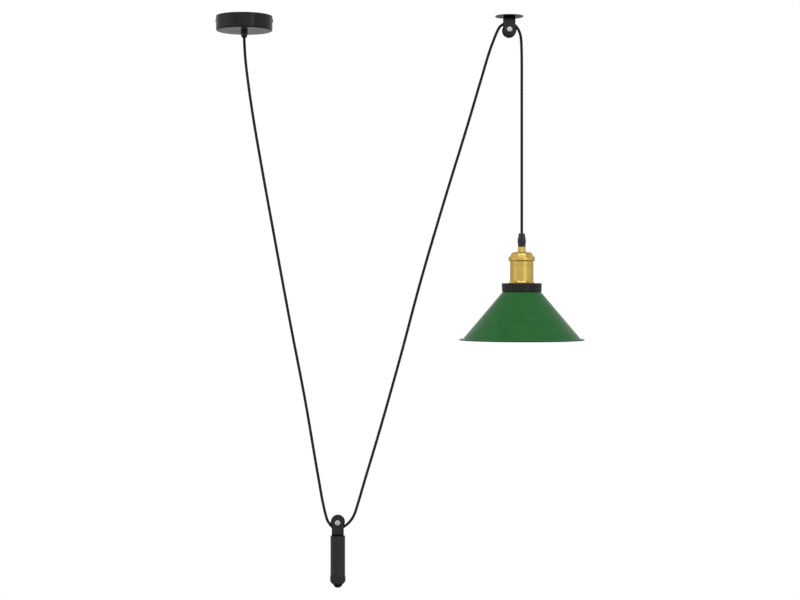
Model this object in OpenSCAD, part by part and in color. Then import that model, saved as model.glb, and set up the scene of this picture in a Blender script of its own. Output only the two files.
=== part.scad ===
// Rise and fall pendant: a ceiling canopy, a ceiling pulley, a counterweight
// pulley and a lamp, all on one textile cable.
// The origin is on the canopy's axis in the ceiling plane. +X points from the
// canopy to the lamp, +Y away from the viewer and +Z up. Millimetres.

/* [Canopy cup] */
// Outer diameter of the canopy
canopy_d = 99; // [96:1:120]
// Height of the canopy
canopy_h = 26; // [25:1:40]
// Thickness of the canopy's sheet
canopy_wall = 1; // [0.8:0.1:1.5]
// Outer radius of the canopy's lower edge
canopy_edge_r = 2.4; // [1.6:0.2:4]

/* [Mounting bracket] */
// Width of the bracket strap
bracket_w = 18; // [17:1:22]
// Thickness of the bracket strap
bracket_t = 1.5; // [1.2:0.1:2]
// Depth of the bent tabs below the ceiling
tab_depth = 15; // [13:1:17]
// Distance between the centres of the two mounting slots
slot_spacing = 64; // [62:1:68]
// End-to-end length of a mounting slot
slot_length = 10; // [8:0.5:11]
// Width of a mounting slot
slot_w = 4.5; // [4:0.1:5.5]
// Diameter of the hole for the house wiring
wire_hole_d = 9; // [7:0.5:9.5]
// Depth of the side screws below the ceiling
side_screw_depth = 8; // [7:0.5:9]
// Thread diameter of the side screws and the earth screw
side_screw_d = 4; // [3:0.5:4]
// Height by which a side screw's head stands out of the cup
side_screw_proud = 0.8; // [0.4:0.1:1.5]

/* [Terminal block] */
// Length of the block along the strap
block_l = 17; // [15:1:18]
// Width of the block across the strap
block_w = 18; // [18:1:20]
// Height of the block
block_h = 13; // [12:0.5:14]
// Distance between the two poles
pole_pitch = 9; // [8.5:0.5:10]

/* [Cable and cores] */
// Diameter of the textile cable
cable_d = 4.8; // [4.4:0.1:5]
// Diameter of one insulated core
core_d = 1.9; // [1.6:0.1:2]

/* [Cord grips] */
// Thread diameter of the grips' nipples
nipple_d = 9.9; // [9.4:0.1:10.4]
// Clearance round the cable in a grip
grip_play = 0.25; // [0.15:0.05:0.4]
// Height of the nipple above the canopy's floor
canopy_nipple_up = 4.5; // [4:0.5:7]
// Largest diameter of the canopy grip
canopy_grip_d = 12.3; // [12:0.1:15]
// Height of the canopy grip's collar
canopy_collar_h = 3; // [2:0.5:5]
// Height of the straight part of the canopy grip's cap
canopy_cap_straight_h = 4.6; // [4:0.2:7]
// Height of the tapered part of the canopy grip's cap
canopy_cap_taper_h = 4.4; // [3:0.2:6]
// Height of a grip locknut
locknut_h = 2.8; // [2:0.2:3]
// Width across flats of a grip locknut
locknut_af = 14; // [13:0.5:16]

/* [Pulleys] */
// Distance of the ceiling pulley's axis from the canopy's axis
pulley_x = 466; // [463:1:468]
// Diameter of the ceiling plate
plate_d = 49.5; // [44:0.5:60]
// Thickness of the ceiling plate
plate_t = 1.2; // [1:0.1:2]
// Distance between the plate's two screw holes
plate_hole_spacing = 32; // [31:1:36]
// Diameter of the plate's screw holes
plate_hole_d = 4.5; // [4:0.1:5]
// Width of the fork strap
fork_w = 20.5; // [18:0.5:23]
// Thickness of the fork strap
fork_t = 1.5; // [1.2:0.1:2]
// Gap between the two ears of a fork
fork_gap = 19; // [18:0.5:20]
// Distance from the fork's foot to the axle
fork_axle_h = 23.8; // [23.6:0.2:26]
// Reach of an ear past the axle
ear_reach = 11.4; // [10:0.2:13]
// Outer radius of the fork's two bends
fork_bend_r = 5.6; // [3:0.2:5.6]
// Diameter of a sheave over its flanges
sheave_d = 24.8; // [24.2:0.2:26.6]
// Width of a sheave
sheave_w = 16; // [14:0.5:17]
// Diameter at the bottom of a sheave's groove
groove_d = 20; // [19:0.1:20.2]
// Diameter of the axle screw
axle_d = 5; // [4:0.5:6]
// Outer diameter of the axle bush
bush_d = 8; // [7.5:0.5:10]
// Running clearance between bush and sheave, on the radius
bush_play = 0.05; // [0.03:0.01:0.08]
// Diameter of the axle screw's button head
axle_head_d = 10; // [9:0.5:12]
// Height of the axle screw's button head
axle_head_h = 2.8; // [2.4:0.1:3.5]
// Diameter of the black axle washers
washer_d = 14; // [12:0.5:16]
// Thickness of the black axle washers
washer_t = 1; // [0.8:0.1:1.5]
// Width across flats of the axle nut
axle_nut_af = 8; // [8:0.5:10]
// Height of the axle nut
axle_nut_h = 4; // [3:0.5:5]
// Diameter of the two fork rivets
rivet_d = 3; // [2.5:0.5:4]
// Distance between the two fork rivets
rivet_spacing = 10; // [8:0.5:12]

/* [Counterweight] */
// Distance of the counterweight's axis from the canopy's axis
weight_x = 164.5; // [164:0.5:165]
// Depth of the counterweight's axle below the ceiling
weight_axle_depth = 889.8; // [889.5:0.1:889.8]
// Outer diameter of the weight's sleeve
sleeve_d = 25.8; // [24:0.2:27]
// Wall of the weight's sleeve
sleeve_wall = 1.2; // [0.8:0.1:2]
// Length of the weight's sleeve
sleeve_h = 70; // [50:1:120]
// Clearance between the sleeve and the pieces in it, on the radius
sleeve_play = 0.1; // [0.05:0.05:0.2]
// Diameter of the tie rod
rod_d = 6; // [5:0.5:8]
// Height of the nut in the fork
rod_nut_h = 3; // [2.5:0.5:4]
// Width across flats of the nut in the fork
rod_nut_af = 10; // [9:0.5:10.5]
// Diameter of the knurled end cap
end_cap_d = 27.1; // [26:0.1:30]
// Height of the end cap's knurled band
end_cap_h = 10; // [8:0.5:15]
// Height of the end cap's chamfer
end_cap_chamfer_h = 4; // [2:0.5:5]
// Diameter at the foot of the end cap's chamfer
end_cap_foot_d = 20.5; // [18:0.5:23]
// Diameter of the dome nut
dome_nut_d = 16.5; // [14:0.5:18]
// Height of the dome nut
dome_nut_h = 7.5; // [6:0.5:10]

/* [Lamp grip and holder] */
// Distance of the lamp's axis from the canopy's axis
lamp_x = 488; // [487:0.5:489]
// Depth of the lamp grip's top below the ceiling
lamp_top_depth = 382; // [381:0.5:383]
// Height of the lamp grip's cap
lamp_cap_h = 13; // [10:0.5:16]
// Height of the lamp grip's base
lamp_base_h = 12; // [9:0.5:15]
// Width across flats at the top of the lamp grip
lamp_grip_top_af = 10.2; // [9:0.2:11]
// Width across flats at the widest line of the lamp grip
lamp_grip_mid_af = 13.6; // [13:0.2:16]
// Width across flats at the foot of the lamp grip
lamp_grip_foot_af = 11.4; // [11:0.2:14]
// Outer diameter of the holder's neck
neck_d = 13.7; // [13:0.1:16]
// Height of the holder's neck
neck_h = 7.5; // [6:0.5:12]
// Outer diameter of the holder's shoulder
shoulder_d = 39.6; // [39:0.2:42]
// Outer radius of the holder's shoulder
shoulder_r = 7.5; // [5:0.5:9]
// Outer diameter of the holder's flange
flange_d = 46.5; // [45:0.5:52]
// Height of the holder's flange
flange_h = 8.5; // [7:0.5:11]
// Wall of the holder's cap
holder_cap_wall = 1.5; // [1.2:0.1:1.8]
// Outer diameter of the holder's body
holder_d = 41.1; // [40.8:0.1:42]
// Wall of the holder's body
holder_wall = 1.5; // [1.2:0.1:1.6]
// Height of the holder's body between flange and foot
holder_h = 38.5; // [34:0.5:50]
// Outer diameter of the holder's flared foot
foot_d = 45; // [44:0.5:50]
// Height of the holder's flared foot
foot_h = 5; // [3:0.5:7]
// Diameter of the outer thread that carries the shade
shade_thread_d = 39.2; // [38.6:0.1:39.4]
// Height by which the threaded sleeve stands out below the lower ring
sleeve_below = 1.2; // [0.5:0.1:3]

/* [Shade and rings] */
// Outer diameter of the upper shade ring
upper_ring_d = 70; // [64:1:76]
// Height of the upper shade ring
upper_ring_h = 15.5; // [12:0.5:20]
// Number of ribs on a shade ring
ring_ribs = 48; // [24:1:60]
// Depth of the ribs on a shade ring
rib_depth = 0.7; // [0.4:0.1:1]
// Outer diameter of the lower shade ring
lower_ring_d = 54; // [50:1:60]
// Height of the lower shade ring
lower_ring_h = 6; // [5:0.5:9]
// Wall of the shade rings
ring_wall = 2.6; // [2:0.1:3.2]
// Clearance between the outer thread and what goes on it, on the radius
thread_play = 0.12; // [0.08:0.02:0.2]
// Diameter of the shade over its rolled lip
shade_d = 220; // [180:1:300]
// Diameter of the shade's shoulder under the upper ring
shade_top_d = 69.2; // [62:0.2:76]
// Height of the shade's cone
shade_h = 83.5; // [60:0.5:120]
// Thickness of the shade's sheet
shade_wall = 0.8; // [0.6:0.1:1.2]
// Width of the flat brim
brim_w = 2.5; // [1.5:0.5:6]
// Inner radius of the bend between cone and brim
brim_fillet_r = 5; // [3:0.5:8]
// Outer radius of the shade's shoulder
shade_corner_r = 1.8; // [1.6:0.1:3]
// Diameter of the rolled bead on the brim's edge
bead_d = 2; // [1.8:0.1:3]

/* [Lamp socket] */
// Inner diameter of the E27 screw shell
screw_shell_d = 26.6; // [26.5:0.1:26.9]
// Length of the screw shell
screw_shell_h = 26.5; // [24:0.5:28]
// Thickness of the screw shell
screw_shell_wall = 0.65; // [0.4:0.05:0.8]
// Height of the porcelain insert
insert_h = 53; // [50:0.5:54]
// Depth of the insert's mouth above the threaded sleeve's end
insert_recess = 2; // [1:0.5:3]
// Thickness of the porcelain under the terminals
insert_roof = 16; // [13:0.5:17]
// Height of the insert's supporting flange
insert_flange_h = 3; // [2:0.5:4]
// Side of a terminal post
post_w = 6; // [5:0.5:7]
// Distance between the two terminal posts
post_spacing = 20; // [18:0.5:22]

/* [Hidden] */
$fn = 96;

// Clearances and small sizes that several pieces share
fit_play = 0.1;
seat_play = 0.05;
through = 1;
socket_key_af = 3;
nipple_hole_d = nipple_d + 2 * fit_play;
grip_bore_d = cable_d + 2 * grip_play;
axle_hole_d = axle_d + 2 * fit_play;

// Canopy levels and radii
canopy_floor_z = -canopy_h + canopy_wall;
canopy_inner_r = canopy_d / 2 - canopy_wall;
tab_gap = 0.3;
tab_x = sqrt(pow(canopy_inner_r, 2) - pow(bracket_w / 2, 2)) - tab_gap;
side_screw_head_d = 2 * side_screw_d;
block_x0 = wire_hole_d / 2 + 1;
block_mid_x = block_x0 + block_l / 2;
block_bore_share = 0.6;
block_bore_z = -bracket_t - block_bore_share * block_h;
block_bore_d = core_d + 0.6;
clamp_screw_d = 3;
clamp_screw_inset = 4;
clamp_screw_sunk = 0.8;
block_recess_d = 6.4;
block_recess_h = 5;
earth_x = -14;
lug_t = 0.8;
lug_d = 9.4;
earth_head_d = 7.4;
nipple_top_z = canopy_floor_z + canopy_nipple_up;
canopy_collar_z = -canopy_h - canopy_collar_h;
canopy_cap_z = canopy_collar_z - canopy_cap_straight_h;
canopy_grip_end_z = canopy_cap_z - canopy_cap_taper_h;
boss_d = 8.6;
boss_h = 4;

// Pulley levels
plate_under_z = -plate_t;
pulley_z = plate_under_z - fork_axle_h;
fork_depth = fork_gap + 2 * fork_t;
ear_y = fork_depth / 2;
washer_y = ear_y + washer_t;
groove_r = cable_d / 2 + 0.25;
groove_flare = 3.2;
sheave_recess = 3;
sheave_recess_w = 2.6;
sheave_hub_wall = 2.2;

// Counterweight levels
weight_z = -weight_axle_depth;
sleeve_top_z = weight_z - fork_axle_h;
sleeve_end_z = sleeve_top_z - sleeve_h;
end_cap_z = sleeve_end_z - end_cap_h;
end_cap_foot_z = end_cap_z - end_cap_chamfer_h;
dome_nut_end_z = end_cap_foot_z - dome_nut_h;
spigot_h = 4;
sleeve_lid_t = 1.2;
rod_top_z = sleeve_top_z + fork_t + rod_nut_h + 0.8;
rod_end_z = dome_nut_end_z + 2;

// Lamp levels, from the grip downwards
grip_top_z = -lamp_top_depth;
grip_mid_z = grip_top_z - lamp_cap_h;
neck_top_z = grip_mid_z - lamp_base_h;
shoulder_z = neck_top_z - neck_h;
flange_top_z = shoulder_z - shoulder_r - 0.5;
flange_end_z = flange_top_z - flange_h;
holder_foot_z = flange_end_z - holder_h;
shade_seat_z = holder_foot_z - upper_ring_h;
shade_under_z = shade_seat_z - shade_wall;
lower_ring_end_z = shade_under_z - lower_ring_h;
holder_end_z = lower_ring_end_z - sleeve_below;
brim_z = shade_seat_z - shade_h;
shoulder_under_z = shoulder_z - holder_cap_wall;
lamp_nipple_end_z = shoulder_under_z - lug_t - locknut_h - 1;
cap_bore_d = holder_d - 0.2;
holder_thread_d = cap_bore_d - 2 * fit_play;
holder_top_z = flange_top_z - 1.5;
holder_bore_d = holder_d - 2 * holder_wall;
sleeve_bore_d = shade_thread_d - 4;
holder_ledge_z = holder_foot_z + 2.5;
shade_hole_d = shade_thread_d + 4 * thread_play;
insert_d = sleeve_bore_d - 0.6;
insert_flange_d = holder_bore_d - 0.4;
insert_end_z = holder_end_z + insert_recess;
insert_top_z = insert_end_z + insert_h;
insert_flange_z = holder_ledge_z + insert_flange_h;
insert_roof_z = insert_top_z - insert_roof;
contact_room_h = 3.5;
shell_seat_z = insert_roof_z - contact_room_h;
shell_outer_d = screw_shell_d + 2 * screw_shell_wall;
insert_bore_d = shell_outer_d + 0.1;
post_h = 6;
retainer_t = 0.9;
retainer_lip = 0.7;
retainer_gap = 6;
shell_lip_w = 3.8;
holder_groove_drop = 6.5;
holder_groove_w = 0.9;
contact_rod_d = 3.8;
post_foot_d = 3;
post_foot_h = 1.9;
post_bore_depth = 4;
post_screw_d = 2.5;
post_screw_drop = 2.2;
rivet_head_h = 1;
retainer_d = holder_bore_d + retainer_lip;
core_ring_r = 1.25;

// The cable's route in the XZ plane, from the canopy down to the counterweight, up to
// the ceiling pulley and down to the lamp. The breaks are the points where one
// stretch of the cable meets the next.
cable_route = [
    [0, -19], [0, -40], [2, -75], [7, -118], [17, -186], [29, -256], [54, -394], [80, -535],
    [107, -675], [131, -815], [139, -859], [143, -876], [146.5, -887.1], [151, -893.9], [155.2, -898.5],
    [159.5, -901.6], [164.5, -902.8], [169.8, -901.4],
    [174.2, -898.2], [179.5, -894.7], [184, -890.6], [188, -886], [192, -879.5], [195, -872.5],
    [199, -860], [212, -816], [233, -746], [273, -605], [310.5, -465], [352, -324], [395, -184],
    [416, -113], [435, -51.5], [441, -36], [444.2, -28.3], [447, -22.4], [450.3, -17.9],
    [454.5, -14.8], [459, -12.9],
    [463, -12], [467.5, -12],
    [472, -13.2], [475.7, -15.7], [479, -19.2], [482, -23.6], [484.3, -28.8], [486, -35], [487, -43],
    [487.6, -56], [488, -80], [488, -120], [488, -250], [488, -382]
];
weight_in = 14;
weight_out = 18;
pulley_in = 38;
pulley_out = 41;
route_end = len(cable_route) - 1;
cable_sides = 10;
ring_step = 55;

// ---- Functions -------------------------------------------------------------

// Unit vector along v
function unit(v) = v / norm(v);

// Points on an arc about c, from angle a0 to a1, in n steps
function arc(c, r, a0, a1, n = 8) =
    [for (i = [0:n]) c + r * [cos(a0 + (a1 - a0) * i / n), sin(a0 + (a1 - a0) * i / n)]];

// Direction of a route at point i: the two neighbouring chords, the shorter counting more
function route_dir(p, i) =
    i == 0 ? unit(p[1] - p[0])
    : i == len(p) - 1 ? unit(p[i] - p[i - 1])
    : let (a = p[i] - p[i - 1], b = p[i + 1] - p[i])
        unit(a / norm(a) * norm(b) + b / norm(b) * norm(a));

// Point at u (0 to 1) on the smooth curve from point i to point i + 1
function hermite(p, i, u) =
    let (l = norm(p[i + 1] - p[i]), t0 = route_dir(p, i) * l, t1 = route_dir(p, i + 1) * l)
        (2 * pow(u, 3) - 3 * pow(u, 2) + 1) * p[i]
        + (pow(u, 3) - 2 * pow(u, 2) + u) * t0
        + (3 * pow(u, 2) - 2 * pow(u, 3)) * p[i + 1]
        + (pow(u, 3) - pow(u, 2)) * t1;

// Direction of that curve at u
function hermite_dir(p, i, u) =
    u == 0 ? route_dir(p, i)
    : let (l = norm(p[i + 1] - p[i]), t0 = route_dir(p, i) * l, t1 = route_dir(p, i + 1) * l)
        unit((6 * pow(u, 2) - 6 * u) * (p[i] - p[i + 1])
            + (3 * pow(u, 2) - 4 * u + 1) * t0
            + (3 * pow(u, 2) - 2 * u) * t1);

// Points and directions along a route between two of its points, no further apart than step
function route_rings(p, first, last, step) = concat(
    [for (i = [first:last - 1])
        let (n = ceil(norm(p[i + 1] - p[i]) / step))
        for (k = [0:n - 1]) [hermite(p, i, k / n), hermite_dir(p, i, k / n)]],
    [[p[last], route_dir(p, last)]]
);

// Corner points of a round tube's ring: centre c and direction t in space, turned by across
function ring_points(c, t, d, sides, across) =
    let (side = unit(cross(across, t)), up = cross(t, side))
        [for (k = [0:sides - 1]) c + d / 2 * (cos(360 * k / sides) * side + sin(360 * k / sides) * up)];

// ---- Shared shapes -----------------------------------------------------------

// A round solid tube through rings of [centre, direction] in space; it never runs along across
module swept_tube(rings, d, sides, across = [0, 1, 0]) {
    n = len(rings);
    points = [for (r = rings) each ring_points(r[0], r[1], d, sides, across)];
    walls = [for (i = [0:n - 2], k = [0:sides - 1])
        let (a = i * sides + k, b = i * sides + (k + 1) % sides)
            each [[a, b + sides, b], [a, a + sides, b + sides]]];
    first_cap = [for (k = [1:sides - 2]) [0, k, k + 1]];
    last_cap = [for (k = [1:sides - 2]) [(n - 1) * sides, (n - 1) * sides + k + 1, (n - 1) * sides + k]];
    polyhedron(points, concat(walls, first_cap, last_cap));
}

// A stretch of the textile cable between two points of its route
module cable_stretch(first, last) {
    rings = route_rings(cable_route, first, last, ring_step);
    swept_tube([for (r = rings) [[r[0][0], 0, r[0][1]], [r[1][0], 0, r[1][1]]]], cable_d, cable_sides);
}

// An insulated core bent through points in space
module core_wire(points, across = [0, 1, 0]) {
    n = len(points);
    rings = [for (i = [0:n - 1]) [points[i], route_dir(points, i)]];
    swept_tube(rings, core_d, 8, across);
}

// A solid of revolution about Z from a profile drawn as [radius, z]
module turned(points) {
    rotate_extrude() polygon(points);
}

// A pipe standing on z = 0
module pipe(outer_d, inner_d, h) {
    difference() {
        cylinder(d = outer_d, h = h);
        translate([0, 0, -through]) cylinder(d = inner_d, h = h + 2 * through);
    }
}

// A hexagon prism standing on z = 0, with two flats facing +Y and -Y
module hexagon(af, h) {
    cylinder(d = af / cos(30), h = h, $fn = 6);
}

// A hexagon nut standing on z = 0
module hex_nut(af, h, bore_d) {
    difference() {
        intersection() {
            hexagon(af, h);
            turned([[0, 0], [af / 2, 0], [af / 2 + 0.09 * af, 0.09 * af], [af / 2 + 0.09 * af, h - 0.09 * af],
                [af / 2, h], [0, h]]);
        }
        translate([0, 0, -through]) cylinder(d = bore_d, h = h + 2 * through);
    }
}

// A hexagon solid that tapers from one width across flats to another
module hex_taper(low_af, high_af, h) {
    cylinder(d1 = low_af / cos(30), d2 = high_af / cos(30), h = h, $fn = 6);
}

// A pan-head screw: the head stands on z = 0, the shank points down
module pan_screw(d, head_d, head_h, l) {
    difference() {
        union() {
            cylinder(d1 = head_d, d2 = 0.7 * head_d, h = head_h);
            translate([0, 0, -l]) cylinder(d = d, h = l + head_h / 2);
        }
        for (turn = [0, 90])
            rotate([0, 0, turn])
                translate([-0.3 * head_d, -0.08 * head_d, 0.45 * head_h])
                    cube([0.6 * head_d, 0.16 * head_d, head_h]);
    }
}

// Places its children on the lamp's axis
module on_lamp_axis() {
    translate([lamp_x, 0, 0]) children();
}

// Places its children on the counterweight's axis
module on_weight_axis() {
    translate([weight_x, 0, 0]) children();
}

// Turns a child's +Z towards the viewer
module facing_viewer() {
    rotate([90, 0, 0]) children();
}

// ---- Canopy --------------------------------------------------------------------

// Half section of a cup of this outer radius, with a rounded lower edge
module cup_section(r, floor_z, edge_r) {
    difference() {
        translate([0, floor_z]) square([r, -floor_z]);
        translate([r - edge_r, floor_z]) square(edge_r);
    }
    translate([r - edge_r, floor_z + edge_r]) circle(edge_r);
}

module canopy_cup() color([0.13, 0.13, 0.13]) {
    difference() {
        rotate_extrude() difference() {
            intersection() {
                cup_section(canopy_d / 2, -canopy_h, canopy_edge_r);
                translate([0, -canopy_h]) square([canopy_d / 2, canopy_h]);
            }
            cup_section(canopy_inner_r, canopy_floor_z, canopy_edge_r - canopy_wall);
            translate([0, -canopy_wall]) square([canopy_inner_r, 2 * canopy_wall]);
        }
        translate([0, 0, -canopy_h - through]) cylinder(d = nipple_hole_d, h = canopy_wall + 2 * through);
        rotate([0, 90, 0])
            translate([side_screw_depth, 0, -canopy_d])
                cylinder(d = side_screw_d + 2 * fit_play, h = 2 * canopy_d);
    }
}

module mounting_bracket() color([0.75, 0.76, 0.78]) {
    difference() {
        intersection() {
            translate([-tab_x, -bracket_w / 2, -tab_depth]) cube([2 * tab_x, bracket_w, tab_depth]);
            facing_viewer() translate([0, 0, -bracket_w]) linear_extrude(2 * bracket_w) bracket_section();
        }
        cylinder(d = wire_hole_d, h = 3 * bracket_t, center = true);
        for (side = [-1, 1])
            translate([side * slot_spacing / 2, 0, 0])
                linear_extrude(3 * bracket_t, center = true) slot_outline();
        translate([earth_x, 0, 0]) cylinder(d = side_screw_d, h = 3 * bracket_t, center = true);
        translate([block_mid_x, 0, 0]) cylinder(d = clamp_screw_d, h = 3 * bracket_t, center = true);
        rotate([0, 90, 0])
            translate([side_screw_depth, 0, -canopy_d])
                cylinder(d = side_screw_d, h = 2 * canopy_d);
    }
}

// Section of the bracket in the XZ plane: a strap with two tabs bent down
module bracket_section() {
    bend_r = 2 * bracket_t;
    difference() {
        union() {
            translate([-tab_x, -tab_depth]) square([2 * tab_x, tab_depth - bend_r]);
            translate([-tab_x + bend_r, -tab_depth]) square([2 * (tab_x - bend_r), tab_depth]);
            for (side = [-1, 1]) translate([side * (tab_x - bend_r), -bend_r]) circle(bend_r);
        }
        translate([-tab_x + bracket_t, -tab_depth - through])
            square([2 * (tab_x - bracket_t), tab_depth - bend_r + through]);
        translate([-tab_x + bend_r, -tab_depth]) square([2 * (tab_x - bend_r), tab_depth - bracket_t]);
        for (side = [-1, 1]) translate([side * (tab_x - bend_r), -bend_r]) circle(bend_r - bracket_t);
    }
}

// Outline of a mounting slot along X
module slot_outline() {
    flat_l = slot_length - slot_w;
    square([flat_l, slot_w], center = true);
    for (side = [-1, 1]) translate([side * flat_l / 2, 0]) circle(d = slot_w);
}

module canopy_side_screws() color([0.16, 0.16, 0.16]) {
    for (side = [-1, 1])
        rotate([0, side * 90, 0])
            translate([side * side_screw_depth, 0, canopy_d / 2])
                pan_screw(side_screw_d - seat_play, side_screw_head_d, side_screw_proud, 6);
}

module canopy_grip_stem() color([0.07, 0.07, 0.07]) {
    difference() {
        union() {
            translate([0, 0, -canopy_h]) cylinder(d = nipple_d, h = nipple_top_z + canopy_h);
            translate([0, 0, canopy_collar_z]) cylinder(d = canopy_grip_d - 0.3, h = canopy_collar_h);
            translate([0, 0, canopy_collar_z - boss_h]) cylinder(d = boss_d, h = boss_h + through);
        }
        translate([0, 0, canopy_collar_z - boss_h - through])
            cylinder(d = grip_bore_d, h = canopy_h * 2);
    }
}

module canopy_grip_cap() color([0.07, 0.07, 0.07]) {
    edge_r = canopy_grip_d / 2;
    end_r = grip_bore_d / 2 + 0.7;
    waist = edge_r - 0.15;
    difference() {
        turned(concat(
            [[0, canopy_collar_z], [waist, canopy_collar_z]],
            arc([edge_r - 12, canopy_collar_z - 1.6], 12, 7, -14, 6),
            arc([end_r, canopy_cap_z - canopy_cap_taper_h + 1.2], 1.2, 0, -90, 4),
            [[0, canopy_grip_end_z]]
        ));
        translate([0, 0, canopy_collar_z - boss_h - seat_play])
            cylinder(d = boss_d + 2 * fit_play, h = boss_h + through);
        translate([0, 0, canopy_grip_end_z - through])
            cylinder(d = grip_bore_d, h = canopy_h);
    }
}

module canopy_grip_locknut() color([0.72, 0.73, 0.75]) {
    translate([0, 0, canopy_floor_z]) hex_nut(locknut_af, locknut_h, nipple_hole_d);
}

module terminal_block() color([0.93, 0.92, 0.88]) {
    difference() {
        translate([block_x0, -block_w / 2, -bracket_t - block_h]) cube([block_l, block_w, block_h]);
        for (side = [-1, 1])
            translate([0, side * pole_pitch / 2, block_bore_z]) rotate([0, 90, 0])
                cylinder(d = block_bore_d, h = 2 * (block_x0 + block_l), center = true);
        for (x = clamp_screw_xs(), side = [-1, 1])
            translate([x, side * pole_pitch / 2, -bracket_t - block_h - through])
                cylinder(d = clamp_screw_d + 2 * fit_play, h = block_bore_z + bracket_t + block_h + through);
        translate([block_mid_x, 0, -bracket_t - block_h - through])
            cylinder(d = clamp_screw_d + 2 * fit_play, h = block_h + 2 * through);
        translate([block_mid_x - block_l, -0.6, -bracket_t - block_h - through])
            cube([2 * block_l, 1.2, 3]);
        translate([block_mid_x, 0, -bracket_t - block_h - through])
            cylinder(d = block_recess_d, h = block_recess_h + through);
    }
}

// The two screw positions along each pole of the block
function clamp_screw_xs() = [block_x0 + clamp_screw_inset, block_x0 + block_l - clamp_screw_inset];

module terminal_clamp_screws() color([0.8, 0.72, 0.45]) {
    screw_l = block_bore_z - core_d / 2 + bracket_t + block_h - clamp_screw_sunk - seat_play;
    for (x = clamp_screw_xs(), side = [-1, 1])
        translate([x, side * pole_pitch / 2, -bracket_t - block_h + clamp_screw_sunk])
            difference() {
                cylinder(d = clamp_screw_d, h = screw_l);
                translate([-clamp_screw_d, -0.3, -through]) cube([2 * clamp_screw_d, 0.6, 0.8 + through]);
            }
}

module terminal_fixing_screw() color([0.72, 0.73, 0.75]) {
    translate([block_mid_x, 0, -bracket_t - block_h + block_recess_h - seat_play])
        rotate([180, 0, 0])
            pan_screw(clamp_screw_d - seat_play, 5.8, 2.2, block_h - block_recess_h + bracket_t - 0.1);
}

module earth_screw() color([0.8, 0.72, 0.45]) {
    translate([earth_x, 0, -bracket_t - lug_t])
        rotate([180, 0, 0])
            pan_screw(side_screw_d - seat_play, earth_head_d, 2.6, bracket_t + lug_t - 0.1);
}

// Start of core number n of the flex at height z: three cores side by side in the cable
function core_start(n, z) = [core_ring_r * cos(90 + 120 * n), core_ring_r * sin(90 + 120 * n), z];

// A core from the cable's end up and over into a pole of the terminal block
module block_wire(n, side) {
    y = side * pole_pitch / 2;
    s = core_start(n, cable_route[0][1]);
    core_wire([
        s, s + [0, 0, 1.6], s + [0.2, side * 0.8, 3.6], [1.2, side * 3.2, block_bore_z - 2.6],
        [2.6, y - side * 0.3, block_bore_z - 0.7], [4.2, y, block_bore_z],
        [block_x0 + 1.5, y, block_bore_z], [block_x0 + clamp_screw_inset + 1, y, block_bore_z]
    ]);
}

module canopy_live_wire() color([0.45, 0.27, 0.14]) block_wire(1, -1);

module canopy_neutral_wire() color([0.16, 0.36, 0.68]) block_wire(2, 1);

module canopy_earth_wire() color([0.45, 0.62, 0.16]) {
    s = core_start(0, cable_route[0][1]);
    lug_z = -bracket_t - lug_t;
    core_wire([
        s, s + [0, 0, 1.8], s + [-0.9, 0.2, 4.4], [-3.2, 1.2, -9.5], [-6, 0.8, -5.6],
        [earth_x + earth_head_d / 2 + 2.6, 0, lug_z - core_d / 2 + 0.4],
        [earth_x + earth_head_d / 2 + 0.15, 0, lug_z - core_d / 2 + 0.4]
    ]);
    translate([earth_x, 0, lug_z]) pipe(lug_d, side_screw_d + 2 * fit_play, lug_t);
}

// ---- Pulleys ---------------------------------------------------------------------

module pulley_plate() color([0.1, 0.1, 0.1]) {
    translate([pulley_x, 0, plate_under_z])
        difference() {
            rotate_extrude() difference() {
                square([plate_d / 2, plate_t]);
                translate([plate_d / 2 - 0.4, -0.01]) polygon([[0, 0], [1, 0], [1, 1]]);
            }
            for (side = [-1, 1]) {
                translate([side * plate_hole_spacing / 2, 0, -through])
                    cylinder(d = plate_hole_d, h = plate_t + 2 * through);
                translate([side * rivet_spacing / 2, 0, -through])
                    cylinder(d = rivet_d + 2 * seat_play, h = plate_t + 2 * through);
            }
        }
}

// The bent strap of a pulley: its foot at z = 0 and its axle at z = -fork_axle_h
module fork() {
    outline_h = fork_axle_h + ear_reach;
    difference() {
        intersection() {
            rotate([90, 0, 90]) translate([0, 0, -fork_w / 2]) linear_extrude(fork_w) fork_section(outline_h);
            facing_viewer() translate([0, 0, -fork_depth]) linear_extrude(2 * fork_depth) ear_outline();
        }
        translate([0, 0, -fork_axle_h]) rotate([90, 0, 0])
            cylinder(d = axle_hole_d, h = 2 * fork_depth, center = true);
    }
}

// Section of the fork across its ears: a U that hangs from its foot
module fork_section(h) {
    inner_r = fork_bend_r - fork_t;
    difference() {
        union() {
            translate([-ear_y, -h]) square([fork_depth, h - fork_bend_r]);
            translate([-ear_y + fork_bend_r, -h]) square([fork_depth - 2 * fork_bend_r, h]);
            for (side = [-1, 1]) translate([side * (ear_y - fork_bend_r), -fork_bend_r]) circle(fork_bend_r);
        }
        translate([-fork_gap / 2, -h - through]) square([fork_gap, h - fork_bend_r + through]);
        translate([-fork_gap / 2 + inner_r, -h]) square([fork_gap - 2 * inner_r, h - fork_t]);
        for (side = [-1, 1]) translate([side * (ear_y - fork_bend_r), -fork_bend_r]) circle(inner_r);
    }
}

// Outline of an ear: a strap with a round end
module ear_outline() {
    end_z = -fork_axle_h - ear_reach + fork_w / 2;
    translate([-fork_w / 2, end_z]) square([fork_w, -end_z + through]);
    translate([0, end_z]) circle(fork_w / 2);
}

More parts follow.
